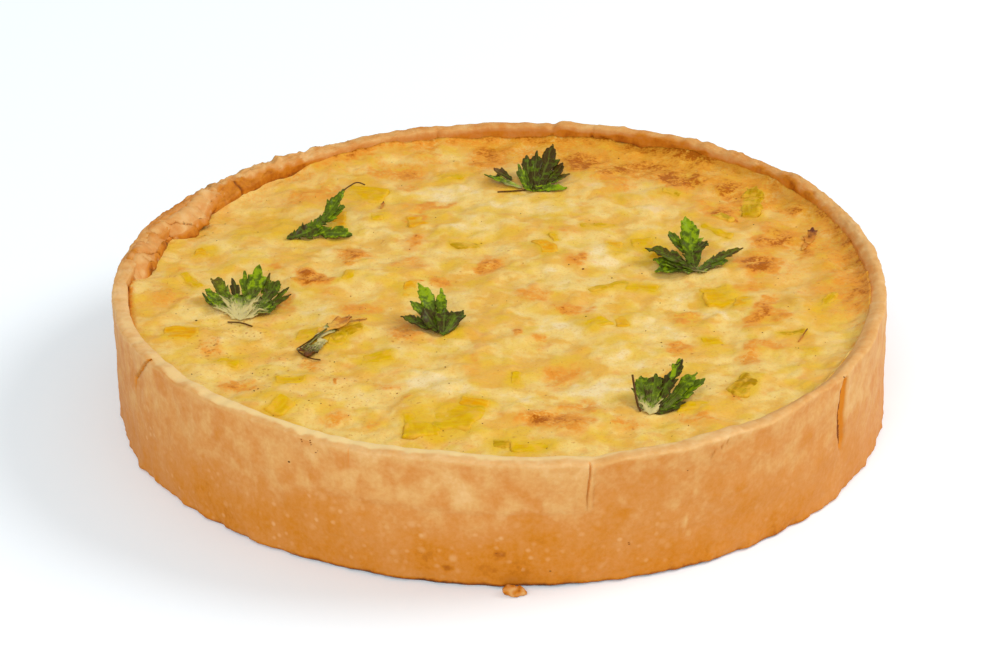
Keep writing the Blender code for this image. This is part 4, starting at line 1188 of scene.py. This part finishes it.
# Baked parsley is thin leaf: bright green where it is still soft, and painted brighter green where light
# shines through its raised tips; dark and greyish where it has dried, with a waxy sheen, paler ribs and brown
# tips. Where custard has set over it, it is pale and rough.
def parsley_material():
    material, tree, place, tone, coat, brown, across, along = new_material("baked parsley leaf", LEAF_MARKS)
    cloud = add_node(tree, "TexNoise", {"Vector": place, "Scale": 1 / 0.002, "Detail": 4, "Roughness": 0.65})
    toned = unsettle(tree, tone, ((cloud, 0.4),))
    colour = lay(tree, linear("#869e00"), (
        (toned, 0.05, 0.5, 1, "#4e5f06"),
        (toned, 0.55, 0.95, 1, "#3d310c"),
    ))
    side = add_node(tree, "Math", {0: across}, operation="ABSOLUTE")
    slant = add_node(tree, "Math", {0: side, 1: -0.8, 2: along}, operation="MULTIPLY_ADD")
    slant = add_node(tree, "Math", {0: slant, 1: 2}, operation="MULTIPLY")
    vein = add_node(tree, "Math", {0: slant, 1: 0.5}, operation="PINGPONG")
    lines = []
    for value, low, high, strength in ((side, 0.05, 0.16, 0.28), (vein, 0.0, 0.12, 0.15)):
        ends = {"From Min": low, "From Max": high, "To Min": strength, "To Max": 0}
        lines.append(add_node(tree, "MapRange", {"Value": value, **ends}, interpolation_type="SMOOTHSTEP"))
    ribbed = add_node(tree, "Math", {0: lines[0], 1: lines[1]}, operation="MAXIMUM")
    for shown, hexa in ((ribbed, "#7c9330"), (brown, "#6a3c12")):
        colour = add_node(tree, "Mix", {0: shown, 6: colour, 7: linear(hexa)}, 2, data_type="RGBA")
    lengthwise = add_node(tree, "CombineXYZ", {"X": across, "Y": along, "Z": tone})
    lengthwise = add_node(tree, "Mapping", {"Vector": lengthwise, "Scale": (9, 0.9, 5)})
    streaks = add_node(tree, "TexNoise", {"Vector": lengthwise, "Scale": 1, "Detail": 3})
    crusted = unsettle(tree, coat, ((streaks, 0.4),), reach=0.15)
    colour = lay(tree, colour, ((crusted, 0.2, 0.9, coat, "#c8b878"),))
    bump = add_node(tree, "Bump", {"Strength": 0.5, "Distance": 0.0004, "Height": cloud})
    return finish(material, {
        "Base Color": colour, "Normal": bump, "Roughness": 0.4, "Specular IOR Level": 0.13,
        "Subsurface Weight": 0.08, "Subsurface Radius": (0.0008, 0.001, 0.0001),
    })


leaf_green = parsley_material()
for index, (root, blades) in enumerate(LEAVES):
    pieces = [add_blade(root, blade, 3.7 * index + 1.9 * order) for order, blade in enumerate(blades)]
    pieces += [add_stalk(root, points, half) for leaf, points, half in STALKS if leaf == index]
    leaf = join(pieces, f"parsley_leaf_{index + 1}")
    leaf.data.materials.append(leaf_green)
    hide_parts(f"parsley_{index + 1}")
    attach(leaf, "root")


# The browned scrap of leek leaf
# A green outer leaf of leek that was stirred in and rose to the top: its upper edge stands out of the
# custard and has browned, and its torn end has dried dark and curled.
SCRAP_ROOT = (-61, -47)
SCRAP_BLADES = (
    ((-0.5, 5.5, 0.3), (6.5, 10.2, 0.6), 4.2, 1, 0.6, 0.6, 2.6, 0.5, -0.4, 0),
    ((-6.0, 1.5, 0.3), (3.4, 8.4, 1.8), 2.6, 1, 0.8, 0.8, 0.9, 0.3, 0.6, 30),
    ((3.2, 5.0, 0.4), (-2.4, -6.4, 1.2), 4.6, 4, 0.75, 0.85, 1.1, 1.5, 0.4, 0),
    ((2.6, 2.0, 0.4), (-4.8, -2.6, 1.4), 3.6, 3, 0.7, 0.9, 1.0, 1.4, 0, 0),
)
SCRAP_STALKS = (
    ((-5.8, 1.8, 0.5), (-1.6, 4.6, 1.1), (2.8, 8.1, 1.5)),
    ((-5.6, 1.2, 0.4), (-4.6, -2.2, 0.5), (-1.0, -6.2, 0.5), (2.2, -7.6, 0.3)),
)
SCRAP_STALK_HALF = 0.22

scraps =[add_blade(SCRAP_ROOT, blade, 40 + 1.7 * order) for order, blade in enumerate(SCRAP_BLADES)]
scraps += [add_stalk(SCRAP_ROOT, points, SCRAP_STALK_HALF) for points in SCRAP_STALKS]
scrap = join(scraps, "leek_leaf_scrap")
scrap.data.materials.append(leaf_green)
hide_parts("filling")
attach(scrap, "root")


# The toasted tips
# Corners of leek and curls of custard skin that stand out of the filling and have caught the heat. Their
# tones are how brown they are all over, on top of their brown tips.
TIP_BLADES = (
    ((106.3, 32.6, 0.0), (107.0, 36.4, 2.9), 2.9, 1, 0.35, 0.6, 0, 1.2, 0, 0),
    ((104.6, 30.0, 0.0), (105.6, 33.6, 0.9), 3.4, 1, 0.2, 0.4, 0, 0.3, 0, 0),
    ((102.4, 25.5, 0.0), (104.4, 30.5, 0.3), 1.5, 1, 0.2, 0.25, 0, 0.2, 0, 0),
    ((93.6, -45.6, 0.1), (97.0, -40.4, 1.5), 1.2, 1, 0.4, 0.7, 0, 1.0, 0, 60),
    ((-44.2, 62.6, 0.0), (-43.2, 66.0, 1.2), 1.2, 1, 0.2, 0.3, 0, 0.7, 0, 20),
    ((-60.5, -38.6, 0.4), (-50.0, -30.0, 1.6), 5.4, 1, 0, 0, 0, 0.9, 0.4, 8),
    ((-51.5, -31.0, 0.8), (-45.2, -27.2, 0.4), 1.3, 1, 0, 0, 0, 0.4, 0.3, 20),
)


# Toasted leek and custard skin has dried hard: golden where it is thick, dark brown at its thin edges.
def toast_material():
    material, tree, place, brown, tone = new_material("toasted custard skin", ("brown", "tone"))
    brown = add_node(tree, "Math", {0: brown, 1: tone}, operation="ADD")
    cloud = add_node(tree, "TexNoise", {"Vector": place, "Scale": 1 / 0.0015, "Detail": 3, "Roughness": 0.6})
    level = unsettle(tree, brown, ((cloud, 0.15),))
    colour = lay(tree, linear("#dca63c"), ((level, 0, 0.35, 1, "#c47a20"), (level, 0.35, 1, 1, "#60290c")))
    bump = add_node(tree, "Bump", {"Strength": 0.4, "Distance": 0.0004, "Height": cloud})
    looks = {"Base Color": colour, "Normal": bump, "Roughness": 0.5, "Specular IOR Level": 0.3}
    return finish(material, looks)


blades = [add_blade((0, 0), blade, 60 + 1.3 * order) for order, blade in enumerate(TIP_BLADES)]
tips = join(blades, "toasted_tips")
tips.data.materials.append(toast_material())
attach(tips, "root")


# The herb and pepper specks
# Chopped herb and ground pepper, stirred into the custard, a part of a millimetre across. They lie all
# over the skin, thickest at the front left.
SPECK_COUNT = 160
SPECK_SINK = 0.35
SPECK_SIZES = (0.28, 0.6)
SPECK_REACH = 0.118
# Specks on the skin that show one by one, as place and size in mm
PLACED_SPECKS = (
    (36, 4, 0.7), (50, -43, 0.6), (-19, -62, 0.7), (12, -113, 0.6), (-101, -26, 0.9), (26.5, 10.5, 0.9),
    (50, -46.8, 0.5), (70, -83, 0.7), (-78, -76, 0.8), (-64, -50, 0.6), (-66.2, -46.5, 0.5),
)
# Specks baked into the wall, as angle, height and size in mm
WALL_SPECKS = (
    (-120.5, 34.5, 0.95), (-118.2, 43.9, 0.7), (-118.1, 43.2, 0.6), (-116.7, 44.5, 0.7),
    (-116.7, 43.8, 0.8), (-116.6, 43.1, 0.6), (-116.0, 40.7, 0.6), (-115.7, 41.4, 0.4), (-36.9, 44.6, 0.7),
    (-73.8, 13.9, 0.5), (-73.7, 13.2, 0.6), (-66.2, 36.5, 0.55), (-84.3, 6, 0.5), (-91.5, 12.4, 0.5),
)

draw = random.Random(11)
speck_places = list(PLACED_SPECKS)
while len(speck_places) < SPECK_COUNT:
    turn, reach = draw.uniform(-180, 180), SPECK_REACH * sqrt(draw.random())
    x, y = around(turn, reach)
    thick = 0.25 + 0.75 * exp(-(((x + 0.06) / 0.06) ** 2 + ((y + 0.07) / 0.05) ** 2))
    thick += 0.3 * smooth_step(0.08, 0.115, reach)
    if draw.random() < thick:
        speck_places.append((x / MM, y / MM, draw.uniform(*SPECK_SIZES)))
speck_centres = []
for east, north, size in speck_places:
    x, y = east * MM, north * MM
    speck_centres.append((Vector((x, y, skin_height(x, y) + (0.5 - SPECK_SINK) * size * MM * 0.5)), size))
crust_surface = surface_of((crust,))
for angle, height, size in WALL_SPECKS:
    inwards = -Vector((*around(angle, 1), 0))
    outside = -0.2 * inwards + Vector((0, 0, height * MM))
    speck_centres.append((crust_surface.ray_cast(outside, inwards)[0], size))
specks = []
for centre, size in speck_centres:
    deselect()
    bpy.ops.mesh.primitive_ico_sphere_add(subdivisions=1, radius=size * MM / 2, location=(0, 0, 0))
    speck = bpy.context.object
    stretch = Vector((draw.uniform(0.8, 1.6), draw.uniform(0.5, 1), draw.uniform(0.4, 0.7)))
    turned = Matrix.Rotation(draw.uniform(0, pi), 3, "Z")
    for vert in speck.data.vertices:
        vert.co = turned @ Vector([part * scale for part, scale in zip(vert.co, stretch)]) + centre
    specks.append(speck)


# Dried herb and pepper are dark and matt, from green brown to nearly black.
def speck_material():
    material, tree, place = new_material("ground pepper and dried herb")
    mixed = add_node(tree, "TexNoise", {"Vector": place, "Scale": 1 / 0.004, "Detail": 1})
    colour = lay(tree, linear("#4c3408"), ((mixed, 0.35, 0.6, 1, "#8a5014"),))
    return finish(material, {"Base Color": colour, "Roughness": 0.7, "Specular IOR Level": 0.2})


speck_piece = join(specks, "pepper_specks")
speck_piece.data.materials.append(speck_material())
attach(speck_piece, "root")


# The crumb at the foot
# A broken bit of crust that lies against the foot at the front.
CRUMB_LUMPS = (
    ((0.6, -130.6, 1.5), (2.3, 1.8, 1.6)), ((3.2, -130.8, 1.3), (2.1, 1.6, 1.5)),
    ((1.9, -131.8, 1.0), (1.8, 1.2, 1.1)), ((4.6, -131.2, 0.8), (1.2, 1.0, 0.9)),
)
CRUMB_VOXEL = 0.00035
CRUMB_FLECKS = 0.6
CRUMB_BAKE = 0.62

lumps = []
for centre, half_sizes in CRUMB_LUMPS:
    deselect()
    bpy.ops.mesh.primitive_uv_sphere_add(segments=24, ring_count=16, radius=1, location=(0, 0, 0))
    lump_ball = bpy.context.object
    for vert in lump_ball.data.vertices:
        scaled = Vector([part * half for part, half in zip(vert.co, half_sizes)])
        rough = 1 + 0.22 * noise.noise(Vector(centre) + scaled * 0.8) + 0.1 * noise.noise(scaled * 2.2)
        vert.co = (Vector(centre) + scaled * rough) * MM
        vert.co.z = max(vert.co.z, 0.0001)
    lumps.append(lump_ball)
crumb = join(lumps, "loose_crumb")
weld = crumb.modifiers.new("Weld", "REMESH")
weld.mode = "VOXEL"
weld.voxel_size = CRUMB_VOXEL
bpy.ops.object.modifier_apply(modifier="Weld")
bpy.ops.object.shade_smooth()
crumb_marks = [(CRUMB_BAKE + 0.6 * wave(*point, 0.0016), CRUMB_FLECKS) for point in points_of(crumb)]
paint(crumb, ("bake_shade_and_sheen", "flecks"), crumb_marks)
crumb.data.materials.append(crust.data.materials[0])
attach(crumb, "root")


# The table, the light and the camera
# A white table under broad soft lamps from the right and from behind the camera, as the quiche was
# photographed.
CAMERA_DISTANCE = 0.900
CAMERA_ELEVATION = 27.9
CAMERA_ROLL = -0.57
CAMERA_LENS = 94.6
AIM = (-0.0019, 0.0089, 0.0169)
TABLE_SIZE = 12
WORLD_STRENGTH = 0.53
KEY_WATTS = 32
FILL_WATTS = 31.2

deselect()
bpy.ops.mesh.primitive_plane_add(size=TABLE_SIZE, location=(0, 0, 0))
table = bpy.context.object
table.name = "table_top"
table.data.materials.append(finish(new_material("white matt table")[0], {
    "Base Color": linear("#f8f9fa"), "Roughness": 0.9, "Specular IOR Level": 0.1,
    "Emission Color": linear("#95dfff"), "Emission Strength": 0.13,
}))

world = bpy.data.worlds.new("studio")
bpy.context.scene.world = world
world.use_nodes = True
background = world.node_tree.nodes["Background"]
background.inputs["Color"].default_value = linear("#ffffff")
background.inputs["Strength"].default_value = WORLD_STRENGTH


def add_softbox(name, place, size, watts):
    """A round soft lamp that points at the quiche."""
    bpy.ops.object.light_add(type="AREA", location=place)
    lamp = bpy.context.object
    lamp.name = name
    lamp.data.shape = "DISK"
    lamp.data.size = size
    lamp.data.energy = watts
    lamp.rotation_euler = (-Vector(place)).to_track_quat("-Z", "Y").to_euler()


add_softbox("key", (1.9, 0.3, 1.6), 1.2, KEY_WATTS)
add_softbox("front_fill", (-0.5, -2.1, 1.5), 1.8, FILL_WATTS)

camera_data = bpy.data.cameras.new("camera")
camera = bpy.data.objects.new("camera", camera_data)
bpy.context.scene.collection.objects.link(camera)
camera_data.lens = CAMERA_LENS
camera_data.sensor_width = 36
rise = radians(CAMERA_ELEVATION)
camera.location = (0, -CAMERA_DISTANCE * cos(rise), CAMERA_DISTANCE * sin(rise))
facing = (Vector(AIM) - camera.location).to_track_quat("-Z", "Y").to_matrix()
camera.rotation_euler = (facing @ Matrix.Rotation(radians(CAMERA_ROLL), 3, "Z")).to_euler()
bpy.context.scene.camera = camera
bpy.context.scene.view_settings.view_transform = "Standard"
